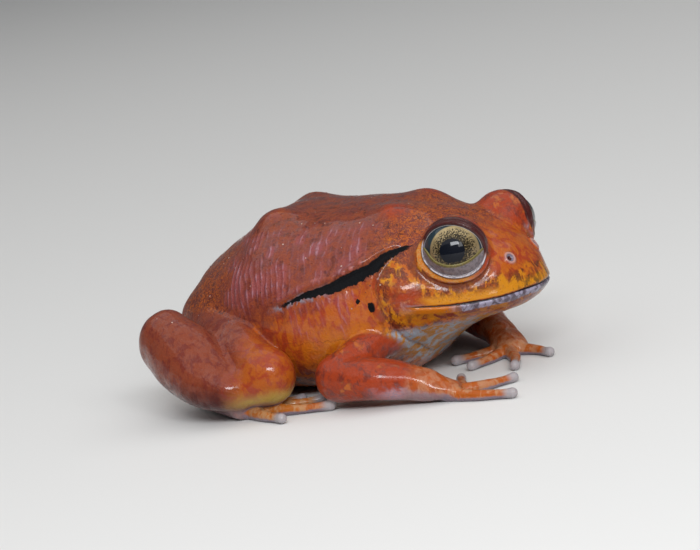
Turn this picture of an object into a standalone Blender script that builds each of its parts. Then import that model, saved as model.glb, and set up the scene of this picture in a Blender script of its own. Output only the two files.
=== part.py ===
"""A grown tomato frog at rest on a flat floor, life size, with one named solid for each part of its body.

+X runs towards the snout, +Y towards the frog's left side and +Z up, with the floor at z = 0. Every length
in the tables is in millimetres of a frog that is 85 mm long from snout to vent. MM turns it into metres,
so that all of them follow SNOUT_TO_VENT. The tables of paired parts give the frog's right side, at -Y.
"""

import math

import bmesh
import bpy
import numpy as np
from mathutils import Vector

SNOUT_TO_VENT = 0.085
MM = SNOUT_TO_VENT / 85.0
GAP = 0.0003

# Trunk and head. Each station: x, half width, top, underside, height of the widest point,
# squareness of the upper half and of the lower half, where 2 is an ellipse.
BODY_STATIONS = {
    "vent": (-40.0, 13.0, 23.5, 5.0, 14.0, 2.0, 2.0),
    "rump": (-33.0, 18.5, 28.0, 2.0, 14.5, 2.0, 2.1),
    "hips": (-25.0, 22.5, 32.8, -0.3, 15.0, 2.0, 2.2),
    "sacrum": (-13.0, 26.5, 38.4, -0.6, 16.0, 2.1, 2.4),
    "waist": (-2.0, 27.5, 38.2, -0.6, 16.0, 2.2, 2.4),
    "chest": (8.0, 26.0, 38.0, -0.4, 16.5, 2.2, 2.3),
    "shoulders": (15.0, 23.3, 37.4, 2.2, 18.0, 2.2, 2.0),
    "jaw_angle": (21.0, 20.8, 36.0, 6.6, 18.6, 2.2, 2.0),
    "eyes": (30.0, 16.8, 32.4, 11.2, 18.4, 2.2, 2.2),
    "cheeks": (35.5, 13.4, 29.3, 12.6, 18.4, 2.2, 2.3),
    "nostrils": (40.0, 10.0, 26.3, 13.6, 18.4, 2.2, 2.3),
    "snout": (43.6, 7.2, 23.8, 14.4, 18.4, 2.2, 2.2),
}
SNOUT_ROUNDING = 6.0
VENT_ROUNDING = 8.0
BODY_RINGS = 44
BODY_SIDES = 44
END_CROWDING = 0.55

# Soft swellings of the trunk and head: place, radius, height.
SWELLINGS = {
    "sacral_hump": ((-13.5, -9.5, 37.0), 3.4, 1.8),
    "shoulder_blade": ((16.5, -8.5, 36.5), 3.6, 1.7),
    "jaw_muscle": ((21.5, -20.5, 21.0), 4.2, 1.5),
    "brow": ((30.5, -10.0, 31.0), 5.2, 1.5),
}
MOUTH_FRONT = (43.6, 17.4)
MOUTH_CORNER = (20.5, 18.4)
LIP_REACH = 1.5
LIP_SWELL = 0.45
NECK_POINT = (20.3, 0.0, 18.4)
NECK_LEAN = math.radians(14.0)

EYE_CENTRE = (30.6, -12.2, 28.3)
EYE_RADIUS = 6.5
EYE_AXIS = (0.36, -0.92, 0.16)
EYE_SEGMENTS = 22
LID_THICKNESS = 0.6
LID_SINK = 0.3
APERTURE_WIDTH = 12.2
APERTURE_HEIGHT = 10.4
APERTURE_LIFT = 0.2
NOSTRIL = (39.2, -5.9, 23.8)
NOSTRIL_RIM = 0.95
NOSTRIL_HOLE = 0.5

# Limbs, written for the right side. Each station: x, y, z, half width, half height.
# The left arm lies differently from the right one: its hand is turned in under the chin.
ARMS = {
    "right": {
        "upper_arm": (
            (16.5, -14.5, 13.4, 4.2, 4.4),
            (13.4, -21.0, 11.6, 3.9, 4.1),
            (10.8, -26.3, 9.3, 4.1, 4.3),
            (8.0, -29.3, 6.9, 4.5, 4.6),
        ),
        "forearm": (
            (7.8, -29.5, 6.3, 4.4, 4.5),
            (13.0, -30.1, 6.5, 4.9, 4.6),
            (20.3, -28.8, 5.5, 4.2, 4.1),
            (26.6, -27.0, 3.9, 3.2, 3.2),
        ),
        "hand": (
            (25.6, -27.2, 3.8, 3.2, 3.1),
            (28.8, -26.4, 2.9, 3.6, 2.5),
            (31.8, -25.4, 2.1, 3.1, 1.8),
        ),
        "fingers": (
            ((28.0, -23.2), (24.6, -18.0), (20.0, -12.5)),
            ((30.8, -23.2), (30.4, -18.8), (27.6, -13.2)),
            ((31.6, -23.8), (36.2, -20.2), (40.2, -14.2)),
            ((31.2, -26.4), (38.5, -27.2), (45.6, -26.4)),
        ),
    },
    "left": {
        "upper_arm": (
            (16.5, -14.5, 13.4, 4.2, 4.4),
            (13.5, -21.0, 11.4, 4.0, 4.2),
            (10.4, -25.6, 9.2, 4.2, 4.4),
            (7.8, -28.0, 7.1, 4.5, 4.5),
        ),
        "forearm": (
            (7.8, -27.8, 6.8, 4.3, 4.4),
            (13.0, -24.2, 6.4, 4.7, 4.6),
            (19.4, -18.2, 5.3, 4.1, 4.1),
            (25.0, -13.0, 3.8, 3.2, 3.1),
        ),
        "hand": (
            (24.2, -13.8, 3.7, 3.1, 2.9),
            (27.6, -10.2, 2.7, 3.7, 2.4),
            (30.4, -7.8, 2.0, 3.2, 1.7),
        ),
        "fingers": (
            ((26.6, -8.4), (23.2, -5.2), (19.4, -1.2)),
            ((28.2, -6.6), (27.6, -2.0), (25.4, 3.6)),
            ((30.0, -6.0), (33.4, -1.4), (36.2, 4.8)),
            ((31.0, -8.2), (35.6, -7.4), (39.8, -5.2)),
        ),
    },
}
THIGH = (
    (-31.5, -10.5, 16.0, 7.4, 7.6),
    (-22.0, -20.5, 14.0, 7.2, 7.2),
    (-13.0, -28.6, 11.4, 6.3, 6.3),
    (-6.8, -32.0, 9.0, 5.3, 5.8),
)
SHANK = (
    (-7.2, -33.0, 8.6, 5.5, 5.6),
    (-14.0, -35.0, 6.9, 6.4, 4.8),
    (-19.8, -35.0, 9.3, 7.0, 6.4),
    (-25.6, -33.0, 12.8, 7.0, 8.0),
    (-31.8, -30.2, 16.4, 6.0, 7.3),
)
FOOT = (
    (-32.5, -24.5, 12.0, 3.4, 4.0),
    (-30.5, -24.8, 6.5, 3.6, 3.6),
    (-25.5, -26.5, 3.3, 3.4, 2.9),
    (-18.5, -30.5, 2.3, 3.6, 2.4),
    (-12.5, -33.0, 1.8, 4.6, 2.0),
)
TOES = (
    ((-14.5, -30.5), (-12.8, -27.2), (-10.5, -24.0)),
    ((-12.3, -31.0), (-9.0, -27.2), (-5.0, -23.8)),
    ((-10.8, -32.0), (-5.0, -29.0), (0.5, -25.2)),
    ((-9.5, -33.5), (-2.5, -32.5), (5.5, -30.5)),
    ((-11.0, -34.5), (-6.5, -37.0), (-1.5, -39.0)),
)
DIGIT_ROOT = 1.5
DIGIT_MIDDLE = 1.15
DIGIT_WAIST = 0.95
DIGIT_TIP = 1.1
DIGIT_LIFT = 0.75
WAIST_SHARE = 0.72

LIMB_RINGS = 10
LIMB_SIDES = 16
DIGIT_RINGS = 7
DIGIT_SIDES = 8

# Each kind of node: its colour and roughness.
FINISHES = {
    "torso": ((0.30, 0.055, 0.025), 0.35),
    "head": ((0.36, 0.085, 0.035), 0.32),
    "lower_jaw": ((0.58, 0.27, 0.06), 0.35),
    "upper_arm": ((0.34, 0.08, 0.035), 0.32),
    "forearm": ((0.33, 0.06, 0.03), 0.30),
    "hand": ((0.50, 0.20, 0.08), 0.35),
    "thigh": ((0.32, 0.07, 0.03), 0.32),
    "shank": ((0.30, 0.06, 0.03), 0.30),
    "foot": ((0.48, 0.19, 0.07), 0.35),
    "eye": ((0.32, 0.22, 0.06), 0.08),
}


def smooth_through(keys, values, at):
    """Values of a table of stations, read from one smooth curve at any place along it."""
    keys = np.asarray(keys, float)
    values = np.asarray(values, float)
    slopes = np.gradient(values, keys, axis=0)
    i = np.clip(np.searchsorted(keys, at) - 1, 0, len(keys) - 2)
    step = keys[i + 1] - keys[i]
    u = ((at - keys[i]) / step)[:, None]
    step = step[:, None]
    return (
        (1 + 2 * u) * (1 - u) ** 2 * values[i]
        + u * (1 - u) ** 2 * step * slopes[i]
        + u**2 * (3 - 2 * u) * values[i + 1]
        + u**2 * (u - 1) * step * slopes[i + 1]
    )


def on_side(point, side):
    """A point of the right-hand tables in metres, for side -1 (right) or 1 (left)."""
    return Vector((point[0], -side * point[1], point[2])) * MM


def new_object(name, mesh):
    obj = bpy.data.objects.new(name, mesh)
    bpy.context.scene.collection.objects.link(obj)
    return obj


def object_from_rings(name, rings):
    """A closed form through rings of points, each end drawn together in one pole."""
    sides = rings.shape[1]
    bm = bmesh.new()
    loops = [[bm.verts.new(point * MM) for point in ring] for ring in rings]
    for low, high in zip(loops, loops[1:]):
        for k in range(sides):
            j = (k + 1) % sides
            bm.faces.new((low[k], low[j], high[j], high[k]))
    for loop, step in ((loops[0], -1), (loops[-1], 1)):
        pole = bm.verts.new(sum((v.co for v in loop), Vector()) / sides)
        for k in range(sides):
            pair = (loop[k], loop[(k + 1) % sides])
            bm.faces.new((*pair[::step], pole))
    bmesh.ops.recalc_face_normals(bm, faces=bm.faces)
    mesh = bpy.data.meshes.new(name)
    bm.to_mesh(mesh)
    bm.free()
    return new_object(name, mesh)


def body_rings():
    """Cross-sections of the trunk and head, closer together at the snout and the vent."""
    table = np.array(list(BODY_STATIONS.values()))
    vent, snout = table[0, 0], table[-1, 0]
    turn = np.linspace(0, math.pi, BODY_RINGS + 2)[1:-1]
    crowded = (vent + snout) / 2 - (snout - vent) / 2 * np.cos(turn)
    even = np.linspace(vent, snout, BODY_RINGS + 2)[1:-1]
    along = END_CROWDING * crowded + (1 - END_CROWDING) * even
    found = smooth_through(table[:, 0], table[:, 1:], along)
    angles = np.arange(BODY_SIDES) * 2 * math.pi / BODY_SIDES
    c, s = np.cos(angles), np.sin(angles)
    rings = []
    for x, (width, top, bottom, widest, above, below) in zip(along, found):
        into_snout = max(0.0, 1 - (snout - x) / SNOUT_ROUNDING)
        into_vent = max(0.0, 1 - (x - vent) / VENT_ROUNDING)
        share = math.sqrt(1 - max(into_snout, into_vent) ** 2)
        power = np.where(s > 0, 2 / above, 2 / below)
        reach = np.where(s > 0, top - widest, widest - bottom)
        y = width * share * np.sign(c) * np.abs(c) ** power
        z = widest + reach * share * np.sign(s) * np.abs(s) ** power
        rings.append(np.stack([np.full(BODY_SIDES, x), y, z], axis=1))
    return np.array(rings)


def mouth_height(x):
    share = (x - MOUTH_CORNER[0]) / (MOUTH_FRONT[0] - MOUTH_CORNER[0])
    return MOUTH_CORNER[1] + share * (MOUTH_FRONT[1] - MOUTH_CORNER[1])


def swell(obj):
    """Raises the humps of the back, the cheeks, the brows and the lips from the plain cross-sections."""
    moves = []
    for v in obj.data.vertices:
        x, y, z = v.co / MM
        rise = 0.0
        for centre, radius, height in SWELLINGS.values():
            away = (Vector((x, -abs(y), z)) - Vector(centre)).length / radius
            rise += height * math.exp(-away * away)
        if x > MOUTH_CORNER[0]:
            away = (z - mouth_height(x)) / LIP_REACH
            rise += LIP_SWELL * math.exp(-away * away)
        moves.append(v.normal * rise * MM)
    for v, move in zip(obj.data.vertices, moves):
        v.co += move


def tube_rings(stations, rings, sides, side, cap_rings=3):
    """Cross-sections of a limb that passes through its stations, with round ends."""
    table = np.array(stations, float)
    table[:, 1] *= -side
    steps = np.linalg.norm(np.diff(table[:, :3], axis=0), axis=1)
    keys = np.concatenate([[0], np.cumsum(steps)])
    at = np.linspace(0, keys[-1], rings)
    found = smooth_through(keys, table, at)
    tangents = np.gradient(found[:, :3], at, axis=0)
    angles = np.arange(sides) * 2 * math.pi / sides
    turns = [math.pi / 2 * (k + 1) / (cap_rings + 1) for k in range(cap_rings)]
    plan = [(0, -turn) for turn in reversed(turns)]
    plan += [(i, 0.0) for i in range(rings)]
    plan += [(rings - 1, turn) for turn in turns]
    made = []
    for i, turn in plan:
        tangent = tangents[i] / np.linalg.norm(tangents[i])
        across = np.cross(tangent, (0, 0, 1))
        across /= np.linalg.norm(across)
        above = np.cross(across, tangent)
        wide, high = found[i, 3:5]
        centre = found[i, :3] + tangent * math.sin(turn) * min(wide, high)
        wide, high = wide * math.cos(turn), high * math.cos(turn)
        made.append(
            centre
            + np.outer(np.cos(angles) * wide, across)
            + np.outer(np.sin(angles) * high, above)
        )
    return np.array(made)


def limb(name, stations, side):
    return object_from_rings(name, tube_rings(stations, LIMB_RINGS, LIMB_SIDES, side))


def digit(points, side):
    """A finger or toe: thick at its root, slim behind the tip, which is a small round pad."""
    root, bend, tip = (np.array(point, float) for point in points)
    waist = bend + WAIST_SHARE * (tip - bend)
    stations = [
        (*place, DIGIT_LIFT + radius / 3, radius, radius)
        for place, radius in zip(
            (root, bend, waist, tip), (DIGIT_ROOT, DIGIT_MIDDLE, DIGIT_WAIST, DIGIT_TIP)
        )
    ]
    return object_from_rings("digit", tube_rings(stations, DIGIT_RINGS, DIGIT_SIDES, side, 2))


def ball(name, radius, centre, segments):
    bpy.ops.mesh.primitive_uv_sphere_add(
        segments=segments, ring_count=segments * 2 // 3, radius=radius, location=centre
    )
    obj = bpy.context.object
    obj.name = name
    obj.data.transform(obj.matrix_world)
    obj.matrix_world.identity()
    return obj


def discard(obj):
    mesh = obj.data
    bpy.data.objects.remove(obj)
    bpy.data.meshes.remove(mesh)


def settle(obj):
    """Turns an object's modifiers into its mesh and keeps only its largest closed surface."""
    graph = bpy.context.evaluated_depsgraph_get()
    mesh = bpy.data.meshes.new_from_object(obj.evaluated_get(graph))
    obj.modifiers.clear()
    obj.data = mesh
    bm = bmesh.new()
    bm.from_mesh(mesh)
    shells = []
    left = set(bm.verts)
    while left:
        shell = {left.pop()}
        edge = set(shell)
        while edge:
            edge = {e.other_vert(v) for v in edge for e in v.link_edges} - shell
            shell |= edge
        left -= shell
        shells.append(shell)
    shells.sort(key=len)
    for shell in shells[:-1]:
        bmesh.ops.delete(bm, geom=list(shell), context="VERTS")
    bm.to_mesh(mesh)
    bm.free()
    return obj


def combine(obj, others, operation):
    """Joins other closed objects to this one, or cuts them out of it, and removes them."""
    group = bpy.data.collections.new("operands")
    for other in others:
        group.objects.link(other)
    modifier = obj.modifiers.new(operation.lower(), "BOOLEAN")
    modifier.operation = operation
    modifier.operand_type = "COLLECTION"
    modifier.collection = group
    modifier.solver = "EXACT"
    settle(obj)
    for other in list(others):
        discard(other)
    bpy.data.collections.remove(group)
    return obj


def grown(obj, margin=GAP):
    """A helper copy of an object, a little larger all round."""
    copy = new_object("grown", obj.data.copy())
    moves = [v.normal * margin for v in copy.data.vertices]
    for v, move in zip(copy.data.vertices, moves):
        v.co += move
    return copy


def clear_of(obj, *neighbours):
    """Cuts an object back so that it meets its neighbours face to face across the gap."""
    for neighbour in neighbours:
        combine(obj, [grown(neighbour)], "DIFFERENCE")
    return obj


def slice_off(obj, point, normal, back=GAP / 2):
    """Removes what lies beyond a plane, less a set-back, and closes the cut with a flat face."""
    normal = Vector(normal).normalized()
    bm = bmesh.new()
    bm.from_mesh(obj.data)
    cut = bmesh.ops.bisect_plane(
        bm,
        geom=[*bm.verts, *bm.edges, *bm.faces],
        plane_co=Vector(point) - normal * back,
        plane_no=normal,
        clear_outer=True,
    )
    edges = [e for e in cut["geom_cut"] if isinstance(e, bmesh.types.BMEdge)]
    if edges:
        bmesh.ops.contextual_create(bm, geom=edges)
        bmesh.ops.holes_fill(bm, edges=[e for e in bm.edges if e.is_boundary])
    bmesh.ops.recalc_face_normals(bm, faces=bm.faces)
    bm.to_mesh(obj.data)
    bm.free()
    return obj


def stand_on_floor(obj):
    """Gives whatever reaches the floor a small flat at z = 0."""
    return slice_off(obj, (0, 0, 0), (0, 0, -1), back=0)


def eye_aperture(side):
    """The opening between the lids, an oval cutter that looks along the eye's own axis."""
    axis = on_side(EYE_AXIS, side).normalized()
    bpy.ops.mesh.primitive_cylinder_add(vertices=EYE_SEGMENTS, radius=0.5 * MM, depth=EYE_RADIUS * MM)
    obj = bpy.context.object
    turn = axis.to_track_quat("Z", "Y")
    lift = turn @ Vector((0, APERTURE_LIFT * MM, 0))
    middle = on_side(EYE_CENTRE, side) + axis * (EYE_RADIUS * 0.8) * MM + lift
    obj.scale = (APERTURE_WIDTH, APERTURE_HEIGHT, 1)
    obj.rotation_mode = "QUATERNION"
    obj.rotation_quaternion = turn
    obj.location = middle
    bpy.context.view_layer.update()
    obj.data.transform(obj.matrix_world)
    obj.matrix_world.identity()
    return obj


def make_body():
    body = object_from_rings("body", body_rings())
    swell(body)
    return body


def make_head_and_trunk(body):
    """Parts the body at the neck and the mouth, and gives the head its lids, sockets and nostrils."""
    lean = Vector((math.cos(NECK_LEAN), 0, math.sin(NECK_LEAN)))
    neck = Vector(NECK_POINT) * MM
    trunk = new_object("torso", body.data.copy())
    slice_off(trunk, neck, lean)
    stand_on_floor(trunk)
    head = new_object("head", body.data.copy())
    slice_off(head, neck, -lean)

    lids, rims, hollows = [], [], []
    for side in (-1, 1):
        centre = on_side(EYE_CENTRE, side)
        inwards = Vector((0, -side * LID_SINK, 0)) * MM
        lids.append(ball("lids", (EYE_RADIUS + LID_THICKNESS) * MM, centre + inwards, EYE_SEGMENTS))
        hollows.append(ball("socket", EYE_RADIUS * MM + GAP, centre, EYE_SEGMENTS))
        hollows.append(eye_aperture(side))
        nostril = on_side(NOSTRIL, side)
        rims.append(ball("nostril_rim", NOSTRIL_RIM * MM, nostril, 12))
        outwards = Vector((0.35, side * 0.7, 0.6)).normalized() * NOSTRIL_RIM * MM
        hollows.append(ball("nostril_hole", NOSTRIL_HOLE * MM, nostril + outwards, 10))
    combine(head, lids + rims, "UNION")
    combine(head, hollows, "DIFFERENCE")

    rise = (MOUTH_FRONT[1] - MOUTH_CORNER[1]) / (MOUTH_FRONT[0] - MOUTH_CORNER[0])
    mouth = Vector((MOUTH_FRONT[0], 0, MOUTH_FRONT[1])) * MM
    jaw = new_object("lower_jaw", head.data.copy())
    slice_off(jaw, mouth, (-rise, 0, 1))
    slice_off(head, mouth, (rise, 0, -1))
    return trunk, head, jaw


def make_eye(side, tag):
    return ball(f"eye_{tag}", EYE_RADIUS * MM, on_side(EYE_CENTRE, side), EYE_SEGMENTS)


def joint_plane(before, after, side):
    """The plane that halves a joint: its point, and its normal towards the first piece's side."""
    here = (on_side(before[-1], side) + on_side(after[0], side)) / 2
    to_first = (on_side(before[-2], side) - here).normalized()
    to_second = (on_side(after[1], side) - here).normalized()
    return here, (to_first - to_second).normalized()


def make_arm(side, tag, body):
    plan = ARMS[tag]
    upper = limb(f"upper_arm_{tag}", plan["upper_arm"], side)
    lower = limb(f"forearm_{tag}", plan["forearm"], side)
    hand = limb(f"hand_{tag}", plan["hand"], side)
    combine(hand, [digit(points, side) for points in plan["fingers"]], "UNION")
    elbow, towards_upper = joint_plane(plan["upper_arm"], plan["forearm"], side)
    slice_off(upper, elbow, -towards_upper)
    slice_off(lower, elbow, towards_upper)
    wrist, towards_lower = joint_plane(plan["forearm"], plan["hand"], side)
    slice_off(lower, wrist, -towards_lower)
    slice_off(hand, wrist, towards_lower)
    for piece in (upper, lower, hand):
        stand_on_floor(clear_of(piece, body))
    return [upper, lower, hand]


def make_leg(side, tag, body):
    thigh = limb(f"thigh_{tag}", THIGH, side)
    shank = limb(f"shank_{tag}", SHANK, side)
    foot = limb(f"foot_{tag}", FOOT, side)
    combine(foot, [digit(points, side) for points in TOES], "UNION")
    clear_of(thigh, body)
    clear_of(shank, body, thigh)
    clear_of(foot, body, thigh, shank)
    for piece in (thigh, shank, foot):
        stand_on_floor(piece)
    return [thigh, shank, foot]


def paint(obj):
    kind = obj.name.removesuffix("_right").removesuffix("_left")
    colour, roughness = FINISHES[kind]
    material = bpy.data.materials.new(obj.name)
    material.use_nodes = True
    shader = material.node_tree.nodes["Principled BSDF"]
    shader.inputs["Base Color"].default_value = (*colour, 1)
    shader.inputs["Roughness"].default_value = roughness
    shader.inputs["Metallic"].default_value = 0
    obj.data.materials.clear()
    obj.data.materials.append(material)
    obj.data.shade_smooth()
    obj.data.set_sharp_from_angle(angle=math.radians(50))


def gather(nodes):
    """Collects the frog under one empty, with the origin on the floor under the middle of its box."""
    frog = bpy.data.collections.new("tomato_frog")
    bpy.context.scene.collection.children.link(frog)
    points = np.array([v.co for obj in nodes for v in obj.data.vertices])
    middle = (points.min(axis=0) + points.max(axis=0)) / 2
    root = bpy.data.objects.new("tomato_frog", None)
    root.location = (-middle[0], -middle[1], 0)
    frog.objects.link(root)
    for obj in nodes:
        for other in list(obj.users_collection):
            other.objects.unlink(obj)
        frog.objects.link(obj)
        obj.parent = root


def main():
    for old in list(bpy.data.objects):
        bpy.data.objects.remove(old)
    body = make_body()
    nodes = list(make_head_and_trunk(body))
    for side, tag in ((-1, "right"), (1, "left")):
        nodes.append(make_eye(side, tag))
        nodes += make_arm(side, tag, body)
        nodes += make_leg(side, tag, body)
    discard(body)
    for obj in nodes:
        paint(obj)
    gather(nodes)


main()
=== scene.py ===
import itertools
import math

import bpy
import numpy as np
from mathutils import Matrix, Vector


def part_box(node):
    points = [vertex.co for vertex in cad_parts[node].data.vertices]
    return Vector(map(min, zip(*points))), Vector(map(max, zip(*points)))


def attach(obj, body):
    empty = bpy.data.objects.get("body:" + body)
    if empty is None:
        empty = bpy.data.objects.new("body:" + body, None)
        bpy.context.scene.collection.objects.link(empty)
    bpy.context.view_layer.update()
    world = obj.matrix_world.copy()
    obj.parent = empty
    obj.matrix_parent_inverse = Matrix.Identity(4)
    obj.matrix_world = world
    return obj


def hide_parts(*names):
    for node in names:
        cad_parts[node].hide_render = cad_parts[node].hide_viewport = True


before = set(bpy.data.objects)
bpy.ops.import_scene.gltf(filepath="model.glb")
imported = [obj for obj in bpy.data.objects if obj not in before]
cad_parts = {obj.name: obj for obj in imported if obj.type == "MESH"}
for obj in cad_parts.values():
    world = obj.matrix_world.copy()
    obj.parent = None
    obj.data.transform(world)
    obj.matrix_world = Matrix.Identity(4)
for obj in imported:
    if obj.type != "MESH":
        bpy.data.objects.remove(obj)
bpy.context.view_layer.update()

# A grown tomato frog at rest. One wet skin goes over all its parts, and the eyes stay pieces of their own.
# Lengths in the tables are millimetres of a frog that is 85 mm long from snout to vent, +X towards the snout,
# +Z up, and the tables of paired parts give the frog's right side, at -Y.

SNOUT_TO_VENT = 0.085
MM = SNOUT_TO_VENT / 85.0
FAR = 9.0

# Trunk and head: x, half width, top, underside, widest height, squareness above and below.
BODY_STATIONS = np.array((
    (-40.0, 13.0, 23.5, 5.0, 14.0, 2.0, 2.0),
    (-33.0, 18.5, 28.0, 2.0, 14.5, 2.0, 2.1),
    (-25.0, 22.5, 32.8, -0.3, 15.0, 2.0, 2.2),
    (-13.0, 26.5, 38.4, -0.6, 16.0, 2.1, 2.4),
    (-2.0, 27.5, 38.2, -0.6, 16.0, 2.2, 2.4),
    (8.0, 26.0, 38.0, -0.4, 16.5, 2.2, 2.3),
    (15.0, 23.3, 37.4, 2.2, 18.0, 2.2, 2.0),
    (21.0, 20.8, 36.0, 6.6, 18.6, 2.2, 2.0),
    (30.0, 16.8, 32.4, 11.2, 18.4, 2.2, 2.2),
    (35.5, 13.4, 29.3, 12.6, 18.4, 2.2, 2.3),
    (40.0, 10.0, 26.3, 13.6, 18.4, 2.2, 2.3),
    (43.6, 7.2, 23.8, 14.4, 18.4, 2.2, 2.2),
))
VENT_X, SNOUT_X = BODY_STATIONS[0, 0], BODY_STATIONS[-1, 0]
SNOUT_ROUNDING = 6.0
VENT_ROUNDING = 8.0

# Soft swellings: place, radius, height.
SWELLINGS = (
    ((-13.5, -9.5, 37.5), 4.6, 1.6),
    ((16.5, -8.5, 37.0), 4.6, 1.5),
    ((21.5, -20.5, 21.0), 4.2, 1.4),
    ((30.5, -10.0, 31.0), 5.2, 1.5),
)

EYE_CENTRE = np.array((30.6, -12.2, 28.3))
EYE_AXIS = Vector((0.36, -0.92, 0.16)).normalized()
EYE_RADIUS = 6.5
CORNEA_BULGE = 0.55
EYE_TURN = EYE_AXIS.to_track_quat("Z", "Y").to_matrix()
EYE_ACROSS, EYE_UPWARDS, EYE_OUTWARDS = np.array(EYE_TURN.transposed())

# The opening between the lids, as angles seen from the eye's centre, and the lids' own thickness.
APERTURE_TILT = math.radians(-20)
APERTURE_HALF_LENGTH = math.asin(6.15 / EYE_RADIUS)
APERTURE_HALF_HEIGHT = math.asin(5.15 / EYE_RADIUS)
APERTURE_LIFT = math.asin(0.25 / EYE_RADIUS)
LID_THICKNESS = 0.6
LID_FILLET = 1.6
# The lids are shaped and coloured within this distance from the eye's centre.
EYE_REACH = 12.0

# The lower lid's free edge from its rear corner to its front one: angles across and up from the eye's axis.
LOWER_LID_EDGE = np.array((
    (-1.22, 0.32), (-1.04, 0.20), (-0.574, -0.230), (-0.135, -0.396), (0.321, -0.385), (0.80, -0.235),
    (1.06, -0.10), (1.22, -0.05),
))
LOWER_LID_TURNS = (math.pi + 0.12, 2 * math.pi + 0.36)
LOWER_LID_ROUNDING = 0.35
LOWER_LID_RISE = 0.24
LOWER_LID_DEPTH = 0.3

# The line of the mouth from the side: x and z.
MOUTH_LINE = np.array((
    (20.5, 19.2), (22.1, 18.9), (28.0, 17.9), (33.5, 17.5), (38.6, 17.5), (41.5, 17.7), (44.5, 17.7),
))
MOUTH_CORNER = (21.6, 25.0)
LIP_REACH = 1.5
LIP_SWELL = 0.45
MOUTH_DEPTH = 0.55
MOUTH_WIDTH = 0.30
NOSTRIL = np.array((39.8, -6.1, 24.5))

# Ridges and grooves outside the edges of the lids and round the nostril: place, width, height.
UPPER_LID_RIDGES = ((1.75, 0.4, -0.22),)
LOWER_LID_RIDGES = ((0.8, 0.22, -0.16), (1.45, 0.45, 0.28), (2.7, 0.7, -0.3))
NOSTRIL_RIDGES = ((1.15, 0.42, 0.42), (0, 0.32, -0.75))

# Lines over the skin of the side, each as places from its front end: the black stripe and two folds.
STRIPE = (
    (21.6, -15.9, 30.4), (20.4, -16.8, 30.0), (18.0, -18.5, 29.3), (16.5, -19.9, 28.3), (15.0, -21.1, 27.2),
    (13.0, -22.2, 26.5), (11.0, -23.1, 25.8), (9.0, -23.9, 25.3), (7.3, -24.6, 24.7), (4.3, -25.4, 24.2),
    (1.2, -26.0, 23.7), (-0.9, -26.4, 23.0), (-3.4, -26.7, 22.2), (-7.0, -27.0, 21.4), (-11.0, -27.0, 20.8),
)
# The stripe's half width at each distance from its front end.
STRIPE_HALF_WIDTHS = np.array((
    (0, 0.45), (2, 0.75), (5, 1.0), (9, 1.4), (13, 1.5), (18, 1.15), (23, 0.8), (28, 0.45), (33, 0.1),
))
STRIPE_BEADS = np.array((
    (3.0, -24.7, 26.3), (3.9, -24.5, 26.4), (5.7, -24.1, 26.5), (6.6, -23.9, 26.5), (7.4, -23.7, 26.6),
    (9.6, -23.0, 27.3), (11.2, -22.3, 28.0), (13.0, -21.2, 28.9),
))
BEAD_WIDTH = 0.62
BEAD_SWELL = 0.26
CHEEK_FOLD = (
    (21.7, -16.0, 30.2), (19.3, -18.4, 28.8), (17.1, -20.9, 26.4), (16.3, -22.4, 23.2), (16.9, -22.7, 20.7),
    (18.0, -22.5, 18.2), (20.0, -21.2, 14.1),
)
THROAT_FOLD = (
    (16.5, -22.8, 20.5), (17.2, -22.7, 18.5), (18.0, -21.7, 15.6), (19.1, -19.0, 12.2), (19.7, -14.8, 9.3),
    (19.0, -7.9, 6.1),
)
# Black spots below the stripe: place, half width, half height.
SPOTS = (
    ((14.8, -22.8, 23.1), 0.37, 0.7), ((12.5, -24.0, 21.3), 0.5, 0.6), ((15.1, -23.2, 19.8), 0.88, 1.3),
)

# Limbs: x, y, z, half width, half height.
ARMS = {
    "right": {
        "upper_arm": (
            (16.5, -14.5, 13.4, 4.2, 4.4), (13.4, -21.0, 11.6, 3.9, 4.1),
            (10.8, -26.3, 9.3, 4.1, 4.3), (8.0, -29.3, 6.9, 4.5, 4.6),
        ),
        "forearm": (
            (7.8, -29.5, 6.3, 4.4, 4.5), (13.0, -30.1, 6.5, 4.9, 4.6),
            (20.3, -28.8, 5.5, 4.2, 4.1), (26.6, -27.0, 3.9, 3.2, 3.2),
        ),
        "hand": ((25.6, -27.2, 3.8, 3.2, 3.1), (28.8, -26.4, 2.9, 3.6, 2.5), (31.8, -25.4, 2.1, 3.1, 1.8)),
        "fingers": (
            ((28.0, -23.2), (24.6, -18.0), (20.0, -12.5)),
            ((30.8, -23.2), (30.4, -18.8), (27.6, -13.2)),
            ((31.6, -23.8), (36.2, -20.2), (40.2, -14.2)),
            ((31.2, -26.4), (38.5, -27.2), (45.6, -26.4)),
        ),
    },
    "left": {
        "upper_arm": (
            (16.5, -14.5, 13.4, 4.2, 4.4), (13.5, -21.0, 11.4, 4.0, 4.2),
            (10.4, -25.6, 9.2, 4.2, 4.4), (7.8, -28.0, 7.1, 4.5, 4.5),
        ),
        "forearm": (
            (7.8, -27.8, 6.8, 4.3, 4.4), (13.0, -24.2, 6.4, 4.7, 4.6),
            (19.4, -18.2, 5.3, 4.1, 4.1), (25.0, -13.0, 3.8, 3.2, 3.1),
        ),
        "hand": ((24.2, -13.8, 3.7, 3.1, 2.9), (27.6, -10.2, 2.7, 3.7, 2.4), (30.4, -7.8, 2.0, 3.2, 1.7)),
        "fingers": (
            ((26.6, -8.4), (23.2, -5.2), (19.4, -1.2)),
            ((28.2, -6.6), (27.6, -2.0), (25.4, 3.6)),
            ((30.0, -6.0), (33.4, -1.4), (36.2, 4.8)),
            ((31.0, -8.2), (35.6, -7.4), (39.8, -5.2)),
        ),
    },
}
THIGH = (
    (-31.5, -10.5, 16.0, 7.4, 7.6), (-22.0, -20.5, 14.0, 7.2, 7.2),
    (-13.0, -29.0, 11.2, 6.0, 6.3), (-6.2, -33.2, 8.6, 4.4, 5.5),
)
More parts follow.
